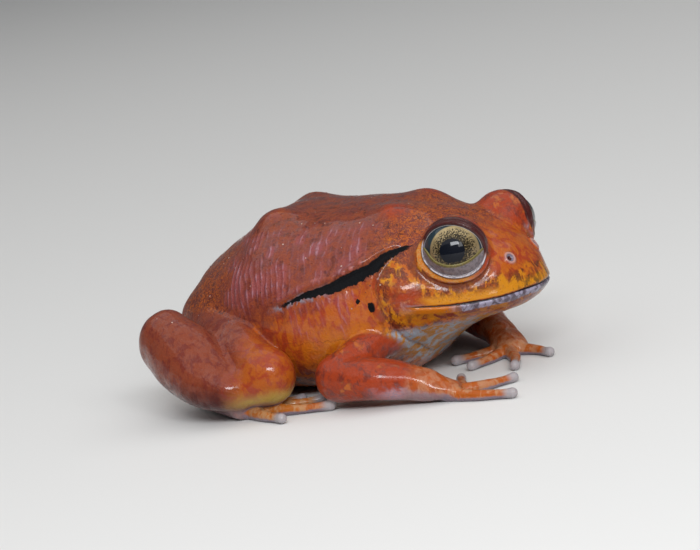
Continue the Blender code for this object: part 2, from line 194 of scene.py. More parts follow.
SHANK = (
    (-6.2, -33.0, 8.6, 5.5, 5.6), (-14.0, -35.0, 6.9, 6.4, 4.8), (-19.8, -35.0, 9.3, 7.0, 6.4),
    (-25.6, -33.0, 12.8, 7.0, 8.0), (-31.8, -30.2, 16.4, 6.0, 7.3),
)
FOOT = (
    (-32.5, -24.5, 12.0, 3.4, 4.0), (-30.5, -24.8, 6.5, 3.6, 3.6), (-25.5, -26.5, 3.3, 3.4, 2.9),
    (-18.5, -30.5, 2.3, 3.6, 2.4), (-12.5, -33.0, 1.8, 4.6, 2.0),
)
TOES = (
    ((-14.5, -30.5), (-12.8, -27.2), (-10.5, -24.0)),
    ((-12.3, -31.0), (-9.0, -27.2), (-5.0, -23.8)),
    ((-10.8, -32.0), (-5.0, -29.0), (0.5, -25.2)),
    ((-9.5, -33.5), (-2.5, -32.5), (5.5, -30.5)),
    ((-11.0, -34.5), (-6.5, -37.0), (-1.5, -39.0)),
)
DIGIT_RADII = (1.5, 1.15, 0.95, 1.1)
DIGIT_LIFT = 0.75
WAIST_SHARE = 0.72

# Fillets between the parts of a limb; the knee's grows by its second value between two places in x.
ELBOW_FILLET = 1.5
DIGIT_FILLET = 0.9
TRUNK_FILLET = 0.8
KNEE_FILLET = (0.9, 5.0)
KNEE_FROM_X, KNEE_TO_X = -13.5, -7.0
KNEE_SLIMMING = 0.2
SIDES = {"right": -1, "left": 1}

# The grid that the skin is first drawn through, and the wrinkles on the flank.
GRID_STEP = 0.9
GRID_MARGIN = 1.6
WRINKLE_SPACING = 1.45
WRINKLE_HEIGHT = 0.11

SKIN_NODES = [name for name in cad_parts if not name.startswith("eye")]
eye_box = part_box("eye_right")
ORIGIN = np.array((eye_box[0] + eye_box[1]) / 2) - EYE_CENTRE * MM


def smooth_through(keys, values, at):
    """Values of a table of stations, read from one smooth curve at any place along it."""
    slopes = np.gradient(values, keys, axis=0)
    i = np.clip(np.searchsorted(keys, at) - 1, 0, len(keys) - 2)
    step = keys[i + 1] - keys[i]
    u = ((at - keys[i]) / step)[:, None]
    step = step[:, None]
    return (
        (1 + 2 * u) * (1 - u) ** 2 * values[i]
        + u * (1 - u) ** 2 * step * slopes[i]
        + u**2 * (3 - 2 * u) * values[i + 1]
        + u**2 * (u - 1) * step * slopes[i + 1]
    )


def ease(low, high, value):
    share = np.clip((value - low) / (high - low), 0, 1)
    return share * share * (3 - 2 * share)


def between(value, low, full, fading, high):
    """1 from full to fading, easing down to 0 at low and at high."""
    return ease(low, full, value) * (1 - ease(fading, high, value))


def hump(distance, width):
    return np.exp(-((distance / width) ** 2))


def ridge_height(distance, ridges):
    """Height of ridges (plus) and grooves (minus), each given by its place, width and height."""
    return sum(height * hump(distance - place, width) for place, width, height in ridges)


def lengths_along(points):
    """How far along a line of points each of them lies."""
    return np.concatenate([[0], np.cumsum(np.linalg.norm(np.diff(points, axis=0), axis=1))])


def distance_from(place, points):
    return np.linalg.norm(points - place, axis=1)


def smooth_min(a, b, radius):
    """The lower of two distances, with a fillet of this radius where they meet."""
    overlap = np.maximum(radius - np.abs(a - b), 0) / radius
    return np.minimum(a, b) - overlap**2 * radius / 4


def to_right(p):
    """The same points folded over to the frog's right side."""
    return np.stack([p[:, 0], -np.abs(p[:, 1]), p[:, 2]], axis=1)


def body_measure(p):
    """How far out a point is of the trunk and head: 0 on the surface, in shares of the cross-section."""
    x = np.clip(p[:, 0], VENT_X, SNOUT_X)
    half, top, bottom, widest, above, below = smooth_through(BODY_STATIONS[:, 0], BODY_STATIONS[:, 1:], x).T
    into_snout = 1 - (SNOUT_X - p[:, 0]) / SNOUT_ROUNDING
    into_vent = 1 - (p[:, 0] - VENT_X) / VENT_ROUNDING
    into = np.maximum(np.maximum(into_snout, into_vent), 0)
    over = p[:, 2] > widest
    power = np.where(over, above, below)
    across = np.abs(p[:, 1]) / half
    rise = np.abs(p[:, 2] - widest) / np.where(over, top - widest, widest - bottom)
    return np.sqrt((across**power + rise**power) ** (2 / power) + into**2) - 1


def slopes_of(measure, p, step=0.05):
    here = measure(p)
    slopes = np.stack([(measure(p + step * axis) - here) / step for axis in np.eye(3)], axis=1)
    return here, slopes


class Tube:
    """A limb or digit of oval cross-section that passes through its stations and has round ends."""

    REACH = 4.0

    def __init__(self, stations, side, pieces):
        table = np.array(stations, float)
        table[:, 1] *= -side
        keys = lengths_along(table[:, :3])
        found = smooth_through(keys, table, np.linspace(0, keys[-1], pieces + 1))
        self.start = found[:-1, :3]
        self.step = np.diff(found[:, :3], axis=0)
        self.size = found[:-1, 3:5]
        self.growth = np.diff(found[:, 3:5], axis=0)
        self.length = np.linalg.norm(self.step, axis=1)
        self.forwards = self.step / self.length[:, None]
        across = np.cross(self.forwards, (0, 0, 1))
        self.across = across / np.linalg.norm(across, axis=1)[:, None]
        self.above = np.cross(self.across, self.forwards)
        widest = found[:, 3:5].max() + self.REACH
        self.low, self.high = found[:, :3].min(axis=0) - widest, found[:, :3].max(axis=0) + widest
        self.tip = found[-1, :3]

    def distance(self, p):
        near = ((p > self.low) & (p < self.high)).all(axis=1)
        result = np.full(len(p), FAR)
        if not near.any():
            return result
        away = p[near][:, None, :] - self.start
        along = np.clip((away * self.forwards).sum(axis=2) / self.length, 0, 1)[:, :, None]
        away = away - along * self.step
        size = self.size + along * self.growth
        wide, high = size[:, :, 0], size[:, :, 1]
        parts = (
            ((away * self.across).sum(axis=2), wide),
            ((away * self.above).sum(axis=2), high),
            ((away * self.forwards).sum(axis=2), np.minimum(wide, high)),
        )
        q = np.sqrt(sum((part / radius) ** 2 for part, radius in parts))
        steep = np.sqrt(sum((part / radius**2) ** 2 for part, radius in parts))
        result[near] = ((q - 1) * q / np.maximum(steep, 1e-6)).min(axis=1)
        return result


def digit_tube(points, side):
    """A finger or toe: thick at its root, slim behind the tip, which is a small round pad."""
    root, bend, tip = (np.array(point, float) for point in points)
    waist = bend + WAIST_SHARE * (tip - bend)
    stations = [
        (*place, DIGIT_LIFT + radius / 3, radius, radius)
        for place, radius in zip((root, bend, waist, tip), DIGIT_RADII)
    ]
    return Tube(stations, side, 12)


class Trail:
    """A line over the skin, with ways to tell how far a point is from it, along it and above it."""

    def __init__(self, points, samples=90, reach=7.0):
        table = np.array(points, float)
        keys = lengths_along(table)
        at = np.linspace(0, keys[-1], samples)
        self.places = smooth_through(keys, table, at)
        self.reach = reach
        self.length = keys[-1]
        self.along = at
        forwards = np.gradient(self.places, axis=0)
        outwards = slopes_of(body_measure, self.places)[1]
        above = np.cross(outwards, forwards)
        above /= np.linalg.norm(above, axis=1)[:, None]
        self.above = above * np.where(above.sum(axis=0)[2] > 0, 1, -1)

    def measure(self, q):
        """Signed distance (plus is above the line) and place along it, for points on the right side."""
        low, high = self.places.min(axis=0) - self.reach, self.places.max(axis=0) + self.reach
        near = ((q > low) & (q < high)).all(axis=1)
        off = np.full(len(q), FAR)
        along = np.zeros(len(q))
        away = q[near][:, None, :] - self.places
        distance = np.linalg.norm(away, axis=2)
        closest = distance.argmin(axis=1)
        rows = np.arange(len(closest))
        signs = np.sign((away[rows, closest] * self.above[closest]).sum(axis=1))
        off[near] = np.minimum(distance[rows, closest], FAR) * np.where(signs == 0, 1, signs)
        along[near] = self.along[closest]
        return off, along


LIMBS = []
for tag, side in SIDES.items():
    plan = ARMS[tag]
    LIMBS.append({
        "kind": "arm",
        "main": [Tube(plan["upper_arm"], side, 24), Tube(plan["forearm"], side, 24)],
        "end": Tube(plan["hand"], side, 12),
        "digits": [digit_tube(points, side) for points in plan["fingers"]],
        "wrist_fillet": 1.2,
        "trunk_fillet": 1.4,
    })
    LIMBS.append({
        "kind": "leg",
        "main": [Tube(THIGH, side, 24), Tube(SHANK, side, 24)],
        "end": Tube(FOOT, side, 20),
        "digits": [digit_tube(points, side) for points in TOES],
        "wrist_fillet": 1.0,
        "trunk_fillet": 1.0,
    })
stripe_trail = Trail(STRIPE, 240)
cheek_trail = Trail(CHEEK_FOLD)
throat_trail = Trail(THROAT_FOLD)

# Each trail's relief: where it fades in, the share of its length where it starts to fade out, and its ridges
# and grooves as distance above the trail (or above the stripe's edge), width and height.
RELIEF = (
    (stripe_trail, (0, 3), 0.75, ((0.9, 0.8, 0.45), (-0.3, 0.5, -0.4))),
    (cheek_trail, (1, 6), 0.75, ((1.3, 1.2, 0.45), (0, 0.6, -0.55))),
    (throat_trail, (0.5, 4), 0.7, ((0, 0.8, -0.6),)),
)


def aperture_angles(turns, scale):
    """Angles across and up from the eye's axis, along an outline of the opening's shape."""
    long_way = scale * APERTURE_HALF_LENGTH * np.cos(turns)
    short_way = scale * APERTURE_HALF_HEIGHT * np.sin(turns)
    c, s = math.cos(APERTURE_TILT), math.sin(APERTURE_TILT)
    return np.stack([long_way * c - short_way * s, long_way * s + short_way * c + APERTURE_LIFT], axis=-1)


def eye_direction(angles):
    """Unit vectors in the eye's own frame (across, upwards, outwards) at these angles from its axis."""
    turned = np.linalg.norm(angles, axis=-1, keepdims=True)
    return np.concatenate([angles * np.sin(turned) / np.maximum(turned, 1e-6), np.cos(turned)], axis=-1)


EYE_FRAME = np.array((EYE_ACROSS, EYE_UPWARDS, EYE_OUTWARDS))
ring_turns = np.linspace(0, 2 * math.pi, 141)[1:]
ring_directions = eye_direction(aperture_angles(ring_turns, 1.0)) @ EYE_FRAME
LID_RING = EYE_CENTRE + (EYE_RADIUS + LID_THICKNESS) * ring_directions


def lid_away(q):
    """Distance from the edge of the opening between the lids."""
    squares = (q**2).sum(axis=1)[:, None] - 2 * q @ LID_RING.T + (LID_RING**2).sum(axis=1)
    return np.sqrt(np.maximum(squares.min(axis=1), 0))


def lid_place(q):
    """Distance from the eye's centre, place from the opening's middle (0) to its edge (1) and beyond, and how
    far above (1) or below (-1) the middle that is."""
    away = q - EYE_CENTRE
    rho = np.linalg.norm(away, axis=1)
    across, upwards, outwards = away @ EYE_ACROSS, away @ EYE_UPWARDS, away @ EYE_OUTWARDS
    turned = np.hypot(across, upwards)
    angle = np.arctan2(turned, outwards) / np.maximum(turned, 1e-6)
    across, upwards = across * angle, upwards * angle - APERTURE_LIFT
    c, s = math.cos(APERTURE_TILT), math.sin(APERTURE_TILT)
    long_way = (across * c + upwards * s) / APERTURE_HALF_LENGTH
    short_way = (upwards * c - across * s) / APERTURE_HALF_HEIGHT
    return rho, np.hypot(long_way, short_way), short_way


def mouth_offset(q):
    """Height above the line of the mouth."""
    x = np.clip(q[:, 0], MOUTH_LINE[0, 0], MOUTH_LINE[-1, 0])
    return q[:, 2] - smooth_through(MOUTH_LINE[:, 0], MOUTH_LINE[:, 1:], x)[:, 0]


def stripe_half(along):
    return np.interp(along, STRIPE_HALF_WIDTHS[:, 0], STRIPE_HALF_WIDTHS[:, 1])


def bead_height(q):
    """The row of small beads on the fold above the stripe."""
    away = np.linalg.norm(q[:, None, :] - STRIPE_BEADS, axis=2)
    return hump(away, BEAD_WIDTH).max(axis=1)


def head_and_trunk(p, fine):
    """Distance to the trunk and head. Only the fine form has the mouth, the nostrils and the open lids."""
    here, slopes = slopes_of(body_measure, p)
    d = here / np.maximum(np.linalg.norm(slopes, axis=1), 0.02)
    q = to_right(p)
    for place, radius, height in SWELLINGS:
        d -= height * hump(distance_from(place, q), radius)

    off = mouth_offset(q)
    in_mouth = ease(*MOUTH_CORNER, q[:, 0])
    d -= in_mouth * LIP_SWELL * hump(off, LIP_REACH)
    if fine:
        d += in_mouth * MOUTH_DEPTH * hump(off, MOUTH_WIDTH)

    for trail, start, end, ridges in RELIEF:
        off, along = trail.measure(q)
        if trail is stripe_trail:
            off = off - stripe_half(along)
        fade = ease(*start, along) * (1 - ease(end, 1.0, along / trail.length))
        d -= fade * ridge_height(off, ridges)
    if fine:
        close = (q[:, 0] > 0) & (q[:, 0] < 16) & (q[:, 2] > 24) & (q[:, 2] < 31)
        d[close] -= BEAD_SWELL * bead_height(q[close])

    near = distance_from(EYE_CENTRE, q) < EYE_REACH
    rho, place, height = lid_place(q[near])
    if not fine:
        d[near] = smooth_min(rho - (EYE_RADIUS + LID_THICKNESS), d[near], LID_FILLET)
        return d
    lower = 1 - ease(-0.1, 0.35, height)
    away = lid_away(q[near])
    lid = rho - (EYE_RADIUS - 0.5 + (LID_THICKNESS + 0.5) * ease(0.92, 1.02, place))
    joined = smooth_min(lid, d[near], LID_FILLET)
    joined -= (1 - lower) * ridge_height(away, UPPER_LID_RIDGES)
    joined -= lower * ridge_height(away, LOWER_LID_RIDGES)
    closed = ease(0.96, 1.06, place)
    d[near] = lid * (1 - closed) + joined * closed
    return d - ridge_height(distance_from(NOSTRIL, q), NOSTRIL_RIDGES)


def skin_distance(p, fine=True):
    """Distance of points from the frog's skin, negative inside."""
    d = head_and_trunk(p, fine)
    near_trunk = 1 - ease(19, 26, np.abs(p[:, 1]))
    knee_radius = KNEE_FILLET[0] + KNEE_FILLET[1] * ease(KNEE_FROM_X, KNEE_TO_X, p[:, 0])
    for limb in LIMBS:
        upper, lower = (tube.distance(p) for tube in limb["main"])
        if limb["kind"] == "arm":
            shape = smooth_min(upper, lower, ELBOW_FILLET)
        else:
            shape = smooth_min(upper, lower, knee_radius) + KNEE_SLIMMING * (knee_radius - KNEE_FILLET[0])
        shape = smooth_min(shape, limb["end"].distance(p), limb["wrist_fillet"])
        for tube in limb["digits"]:
            shape = smooth_min(shape, tube.distance(p), DIGIT_FILLET)
        d = smooth_min(d, shape, TRUNK_FILLET + limb["trunk_fillet"] * near_trunk)
    return d


def vertex_normals(points, faces):
    a, b, c = (points[faces[:, k]] for k in range(3))
    across = np.cross(b - a, c - a)
    total = np.stack([
        sum(np.bincount(faces[:, k], across[:, axis], len(points)) for k in range(3)) for axis in range(3)
    ], axis=1)
    return total / np.maximum(np.linalg.norm(total, axis=1), 1e-12)[:, None]


def neighbour_mean(values, faces):
    start = faces.ravel()
    end = np.roll(faces, -1, axis=1).ravel()
    starts, ends = np.concatenate([start, end]), np.concatenate([end, start])
    count = np.maximum(np.bincount(starts, minlength=len(values)), 1)
    return np.stack([np.bincount(starts, values[ends, k], len(values)) / count for k in range(3)], axis=1)


def even_out(points, faces, normals, share=0.5):
    """Slides the points along the surface towards the middle of their neighbours."""
    move = neighbour_mean(points, faces) - points
    move -= normals * (move * normals).sum(axis=1)[:, None]
    return points + share * move


def settle_on_skin(points, faces, rounds, most=0.5, fine=True, probe=0.04):
    for k in range(rounds):
        normals = vertex_normals(points, faces)
        here = skin_distance(points, fine)
        steep = (skin_distance(points + normals * probe, fine) - here) / probe
        points = points - normals * np.clip(here / np.maximum(steep, 0.7), -most, most)[:, None]
        points[:, 2] = np.maximum(points[:, 2], 0)
        if k < rounds - 1:
            points = even_out(points, faces, normals)
    return points


def split_long_edges(points, faces, longest):
    """Halves each edge that is longer than allowed where it lies, and mends the faces round it."""
    pairs = np.sort(np.stack([faces, np.roll(faces, -1, axis=1)], axis=2).reshape(-1, 2), axis=1)
    edges, place = np.unique(pairs[:, 0] * len(points) + pairs[:, 1], return_inverse=True)
    ends = np.stack([edges // len(points), edges % len(points)], axis=1)
    middles = points[ends].mean(axis=1)
    lengths = distance_from(points[ends[:, 0]], points[ends[:, 1]])
    marked = lengths > longest(middles)
    number = np.where(marked, len(points) + np.cumsum(marked) - 1, -1)
    middle = number[place].reshape(-1, 3)
    points = np.concatenate([points, middles[marked]])
    count = (middle >= 0).sum(axis=1)
    made = [faces[count == 0]]

    def add(*corners):
        made.append(np.stack(corners, axis=1))

    whole, m = faces[count == 3], middle[count == 3]
    for k in range(3):
        add(whole[:, k], m[:, k], m[:, k - 1])
    add(*m.T)
    for k in range(3):
        turned, m = np.roll(faces, -k, axis=1), np.roll(middle, -k, axis=1)
        one = (count == 1) & (m[:, 0] >= 0)
        (a, b, c), ab = turned[one].T, m[one, 0]
        add(a, ab, c)
        add(ab, b, c)
        two = (count == 2) & (m[:, 2] < 0)
        (a, b, c), (ab, bc) = turned[two].T, m[two, :2].T
        add(ab, b, bc)
        short = distance_from(points[a], points[bc]) < distance_from(points[ab], points[c])
        add(a, ab, np.where(short, bc, c))
        add(np.where(short, a, ab), bc, c)
    return points, np.concatenate(made)


def longest_edge(p):
    """The longest edge allowed at each place: short at the eyes, mouth and nostrils, long on the belly."""
    q = to_right(p)
    x, y, z = q.T
    off, along = stripe_trail.measure(q)
    zones = (
        ((z > 8) & (x > -30), 1.0),
        ((z < 13) & (y < -22), 0.85),
        ((z < 4.5) & ((y < -16) | (x > 17)), 0.65),
        (flank_wrinkles(q)[1] > 0.2, 0.5),
        ((x > 17) & (z > 11), 0.66),
        ((np.abs(off) < 2.2) & (along < 31), 0.45),
        (distance_from(EYE_CENTRE, q) < 10.5, 0.5),
        (lid_away(q) < 1.3, 0.3),
        ((x > 21.5) & (np.abs(mouth_offset(q)) < 0.9), 0.36),
        (distance_from(NOSTRIL, q) < 2.4, 0.28),
    )
    size = np.full(len(p), 1.25)
    for zone, longest in zones:
        size[zone] = longest
    return size


def surface_of(field, low, high, step):
    """The closed surface where a field is zero, drawn through a grid of cells."""
    axes = [np.arange(a, b + step, step) for a, b in zip(low, high)]
    grid = np.stack(np.meshgrid(*axes, indexing="ij"), axis=-1)
    shape = grid.shape[:3]
    parts = np.array_split(grid.reshape(-1, 3), 40)
    values = np.concatenate([field(part) for part in parts]).reshape(shape)
    corners = list(itertools.product((0, 1), repeat=3))

    def at_corner(array, corner):
        return array[tuple(slice(c, n - 1 + c) for c, n in zip(corner, shape))]

    filled = sum(at_corner(values < 0, corner).astype(int) for corner in corners)
    mixed = (filled > 0) & (filled < 8)
    number = np.full(mixed.shape, -1)
    number[mixed] = np.arange(mixed.sum())
    total, hits = np.zeros((mixed.sum(), 3)), np.zeros(mixed.sum())
    for a, b in itertools.combinations(corners, 2):
        if sum(abs(i - j) for i, j in zip(a, b)) != 1:
            continue
        value_a, value_b = at_corner(values, a)[mixed], at_corner(values, b)[mixed]
        crossed = (value_a < 0) != (value_b < 0)
        share = np.where(crossed, value_a / np.where(crossed, value_a - value_b, 1), 0)[:, None]
        place = at_corner(grid, a)[mixed] * (1 - share) + at_corner(grid, b)[mixed] * share
        total += place * crossed[:, None]
        hits += crossed
    faces = []
    for axis in range(3):
        u, v = (axis + 1) % 3, (axis + 2) % 3
        first = np.moveaxis(values < 0, (axis, u, v), (0, 1, 2))
        numbers = np.moveaxis(number, (axis, u, v), (0, 1, 2))
        inner = first[:, 1:-1, 1:-1]
        i, j, k = np.nonzero(inner[:-1] != inner[1:])
        ring = np.stack([numbers[i, j + a, k + b] for a, b in ((0, 0), (1, 0), (1, 1), (0, 1))], axis=1)
        outwards = inner[:-1][i, j, k]
        ring = np.where(outwards[:, None], ring, ring[:, ::-1])
        faces += [ring[:, [0, 1, 2]], ring[:, [0, 2, 3]]]
    return total / hits[:, None], np.concatenate(faces)


def cell_noise(p, seed):
    """Smooth random values between -1 and 1 on a grid of one unit, for many points at once."""
    cell = np.floor(p).astype(np.int64)
    inner = p - cell
    blend = inner**3 * (inner * (inner * 6 - 15) + 10)
    total = np.zeros(len(p))
    for corner in itertools.product((0, 1), repeat=3):
        at = cell + corner
        mixed = at[:, 0] * 374761393 + at[:, 1] * 668265263 + at[:, 2] * 2147483647 + seed * 1274126177
        mixed = (mixed ^ (mixed >> 13)) * 1274126177
        value = ((mixed ^ (mixed >> 16)) & 65535) / 32767.5 - 1
        total += value * np.where(corner, blend, 1 - blend).prod(axis=1)
    return total


def flank_wrinkles(q):
    """Upright wrinkles on the flank: how many lie from the origin to each point, and how strong they are."""
    x, z = q[:, 0], q[:, 2]
    warp = cell_noise(q / (6, 6, 5), 3) * 0.7 + cell_noise(q / (2.2, 2.2, 4.0), 4) * 0.4
    turns = (x + 0.15 * z + warp) / WRINKLE_SPACING
    patchy = ease(-0.4, 0.5, cell_noise(q / (2.2, 2.2, 4.6), 5))
    upper = between(x, -24, -16, 11, 17) * between(z, 19, 24, 33.5, 36.5)
    lower = between(x, -4, 1, 9, 13) * between(z, 13, 17, 21, 25)
    off, along = stripe_trail.measure(q)
    clear = ease(0.1, 1.6, np.abs(off) - stripe_half(along))
    return turns, np.maximum(upper, 0.7 * lower) * (0.15 + 0.85 * patchy) * clear


def under_tips(p):
    """How close each point is to a digit's tip, and to any digit, as 0 to 1."""
    tip = np.zeros(len(p))
    digit = np.zeros(len(p))
    for limb in LIMBS:
        for tube in limb["digits"]:
            tip = np.maximum(tip, 1 - ease(0.9, 2.6, distance_from(tube.tip, p)))
            digit = np.maximum(digit, 1 - ease(0.2, 2.5, tube.distance(p)))
        digit = np.maximum(digit, 0.7 * (1 - ease(0.2, 2.5, limb["end"].distance(p))))
    return tip, digit


def spot_measure(q):
    """Distance from the closest black spot, in shares of its own size."""
    shares = []
    for place, half_width, half_height in SPOTS:
        away = q - place
        shares.append(np.hypot(np.hypot(away[:, 0], away[:, 1]) / half_width, away[:, 2] / half_height))
    return np.minimum(np.min(shares, axis=0), FAR)


def piece(name, mesh):
    obj = bpy.data.objects.new(name, mesh)
    bpy.context.scene.collection.objects.link(obj)
    return obj


def smooth_piece(name, points, faces):
    """A smoothly shaded piece whose points are given in the same millimetres as the tables."""
    mesh = bpy.data.meshes.new(name)
    mesh.from_pydata((points * MM + ORIGIN).tolist(), [], faces)
    mesh.shade_smooth()
    return piece(name, mesh)


def store(obj, name, values):
    attribute = obj.data.attributes.new(name, "FLOAT", "POINT")
    attribute.data.foreach_set("value", np.asarray(values, np.float32))


def above_floor(p):
    return np.maximum(skin_distance(p, False), -p[:, 2])


def make_skin():
    """One closed skin, drawn through a coarse grid, then split and settled until it is fine enough."""
    corners = np.array([[tuple(corner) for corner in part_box(name)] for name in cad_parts])
    low = (corners[:, 0].min(axis=0) - ORIGIN) / MM - GRID_MARGIN
    high = (corners[:, 1].max(axis=0) - ORIGIN) / MM + GRID_MARGIN
    points, faces = surface_of(above_floor, low, high, GRID_STEP)
    points = settle_on_skin(points, faces, 4, fine=False)
    points, faces = split_long_edges(points, faces, longest_edge)
    points = settle_on_skin(points, faces, 3, fine=False)
    for rounds in (4, 6):
        points, faces = split_long_edges(points, faces, longest_edge)
        points = settle_on_skin(points, faces, rounds, 0.3)
    normals = vertex_normals(points, faces)
    q = to_right(points)
    turns, strength = flank_wrinkles(q)
    grain = cell_noise(points / 2.2, 8) * 0.06 + cell_noise(points / 5.0, 9) * 0.12
    off_floor = ease(0.3, 2.0, points[:, 2])
    rise = np.sin(2 * math.pi * turns) * strength * WRINKLE_HEIGHT + grain
    points = points + normals * (rise * off_floor)[:, None]
    points[:, 2] = np.maximum(points[:, 2], 0)
    normals = vertex_normals(points, faces)
    print("skin triangles", len(faces))

    _, place, height = lid_place(q)
    place[distance_from(EYE_CENTRE, q) > EYE_REACH] = FAR
    off_stripe, along_stripe = stripe_trail.measure(q)
    half = stripe_half(along_stripe)
    off_cheek, _ = cheek_trail.measure(q)
    off_throat, _ = throat_trail.measure(q)
    tip, digit = under_tips(points)
    trunk = slopes_of(body_measure, points)
    on_trunk = 1 - ease(0.5, 1.5, trunk[0] / np.maximum(np.linalg.norm(trunk[1], axis=1), 0.02))
    back = ease(17, 24, q[:, 2]) * between(q[:, 0], -36, -30, 17, 21)
    values = {
        "lid_place": place,
        "lid_away": np.minimum(lid_away(q), FAR),
        "lid_height": height,
        "mouth_off": np.where(q[:, 0] > 20.5, mouth_offset(q), FAR),
        "stripe_top": half - off_stripe,
        "stripe_bottom": half + off_stripe,
        "stripe_along": along_stripe,
        "cheek_off": off_cheek,
        "throat_off": off_throat,
        "spot_off": spot_measure(q),
        "bead": bead_height(q),
        "wrinkle_turns": turns,
        "wrinkle_share": strength,
        "nostril_away": distance_from(NOSTRIL, q),
        "tip": tip,
        "digit": digit,
        "on_trunk": on_trunk,
        "downward": -normals[:, 2],
        "speck_share": back * (np.abs(off_stripe) > 2.5),
    }
    skin = smooth_piece("skin", points, faces.tolist())
    for name, value in values.items():
        store(skin, name, value)
    return skin


def ball_radius(angle):
    """The eyeball's radius at an angle from its axis: the cornea stands proud of the ball."""
    return EYE_RADIUS - 0.03 + CORNEA_BULGE * (1 - ease(0.35, 0.95, angle))


def eye_piece(name, tag, local, faces):
    """A piece given in the eye's own frame: across, upwards, outwards."""
    side = SIDES[tag]
    points = EYE_CENTRE + local @ EYE_FRAME
    points[:, 1] *= -side
    if side > 0:
        faces = [face[::-1] for face in faces]
    return smooth_piece(f"{name}_{tag}", points, faces)


def ring_faces(rings, around):
    """The faces between closed rings of points that follow one another."""
    faces = []
    for i in range(rings - 1):
        for k in range(around):
            j = (k + 1) % around
            faces.append((i * around + k, i * around + j, (i + 1) * around + j, (i + 1) * around + k))
    return faces


def make_eyeball(tag):
    """A ball whose rings lie round the eye's own axis."""
    rings, segments = 56, 96
    angles = np.linspace(0, math.pi, rings + 2)[1:-1]
    turns = np.arange(segments) * 2 * math.pi / segments
    radius = ball_radius(angles)
    across = (radius * np.sin(angles))[:, None] * np.cos(turns)
    upwards = (radius * np.sin(angles))[:, None] * np.sin(turns)
    outwards = np.repeat((radius * np.cos(angles))[:, None], segments, axis=1)
    local = np.stack([across, upwards, outwards], axis=2).reshape(-1, 3)
    local = np.concatenate([local, [(0, 0, radius[0]), (0, 0, -radius[-1])]])
    faces = [(a, d, c, b) for a, b, c, d in ring_faces(rings, segments)]
    for k in range(segments):
        j = (k + 1) % segments
        faces.append((k, j, len(local) - 2))
        faces.append(((rings - 1) * segments + j, (rings - 1) * segments + k, len(local) - 1))
    obj = eye_piece("eyeball", tag, local, faces)
    for axis, name in enumerate(("iris_x", "iris_y", "iris_z")):
        store(obj, name, local[:, axis])
    return obj


def make_lower_lid(tag):
    """A thin closed shell from the lower lid's free edge down under the skin round the eye."""
    columns, rows = 84, 16
    keys = lengths_along(LOWER_LID_EDGE)
    free = smooth_through(keys, LOWER_LID_EDGE, np.linspace(0, keys[-1], columns))
    hidden = aperture_angles(np.linspace(*LOWER_LID_TURNS, columns), 1.04)
    share = np.linspace(0, 1, rows) ** 1.5
    angles = free[:, None, :] * (1 - share[:, None]) + hidden[:, None, :] * share[:, None]
    width = np.linalg.norm(hidden - free, axis=1)[:, None] * share * EYE_RADIUS
    round_edge = np.sqrt(1 - (1 - np.clip(width / LOWER_LID_ROUNDING, 0, 1)) ** 2)
    direction = eye_direction(angles)
    ball = ball_radius(np.linalg.norm(angles, axis=2))
    outer = direction * (ball + 0.02 + LOWER_LID_RISE * round_edge)[:, :, None]
    inner = direction * (ball - LOWER_LID_DEPTH)[:, :, None]
    loop = np.concatenate([outer, inner[:, ::-1]], axis=1)
    across = loop.shape[1]
    faces = ring_faces(columns, across)
    faces.append(tuple(range(across))[::-1])
    faces.append(tuple((columns - 1) * across + k for k in range(across)))
    obj = eye_piece("lower_lid", tag, loop.reshape(-1, 3), faces)
    store(obj, "from_edge", np.concatenate([width, width[:, ::-1]], axis=1).ravel())
    return obj


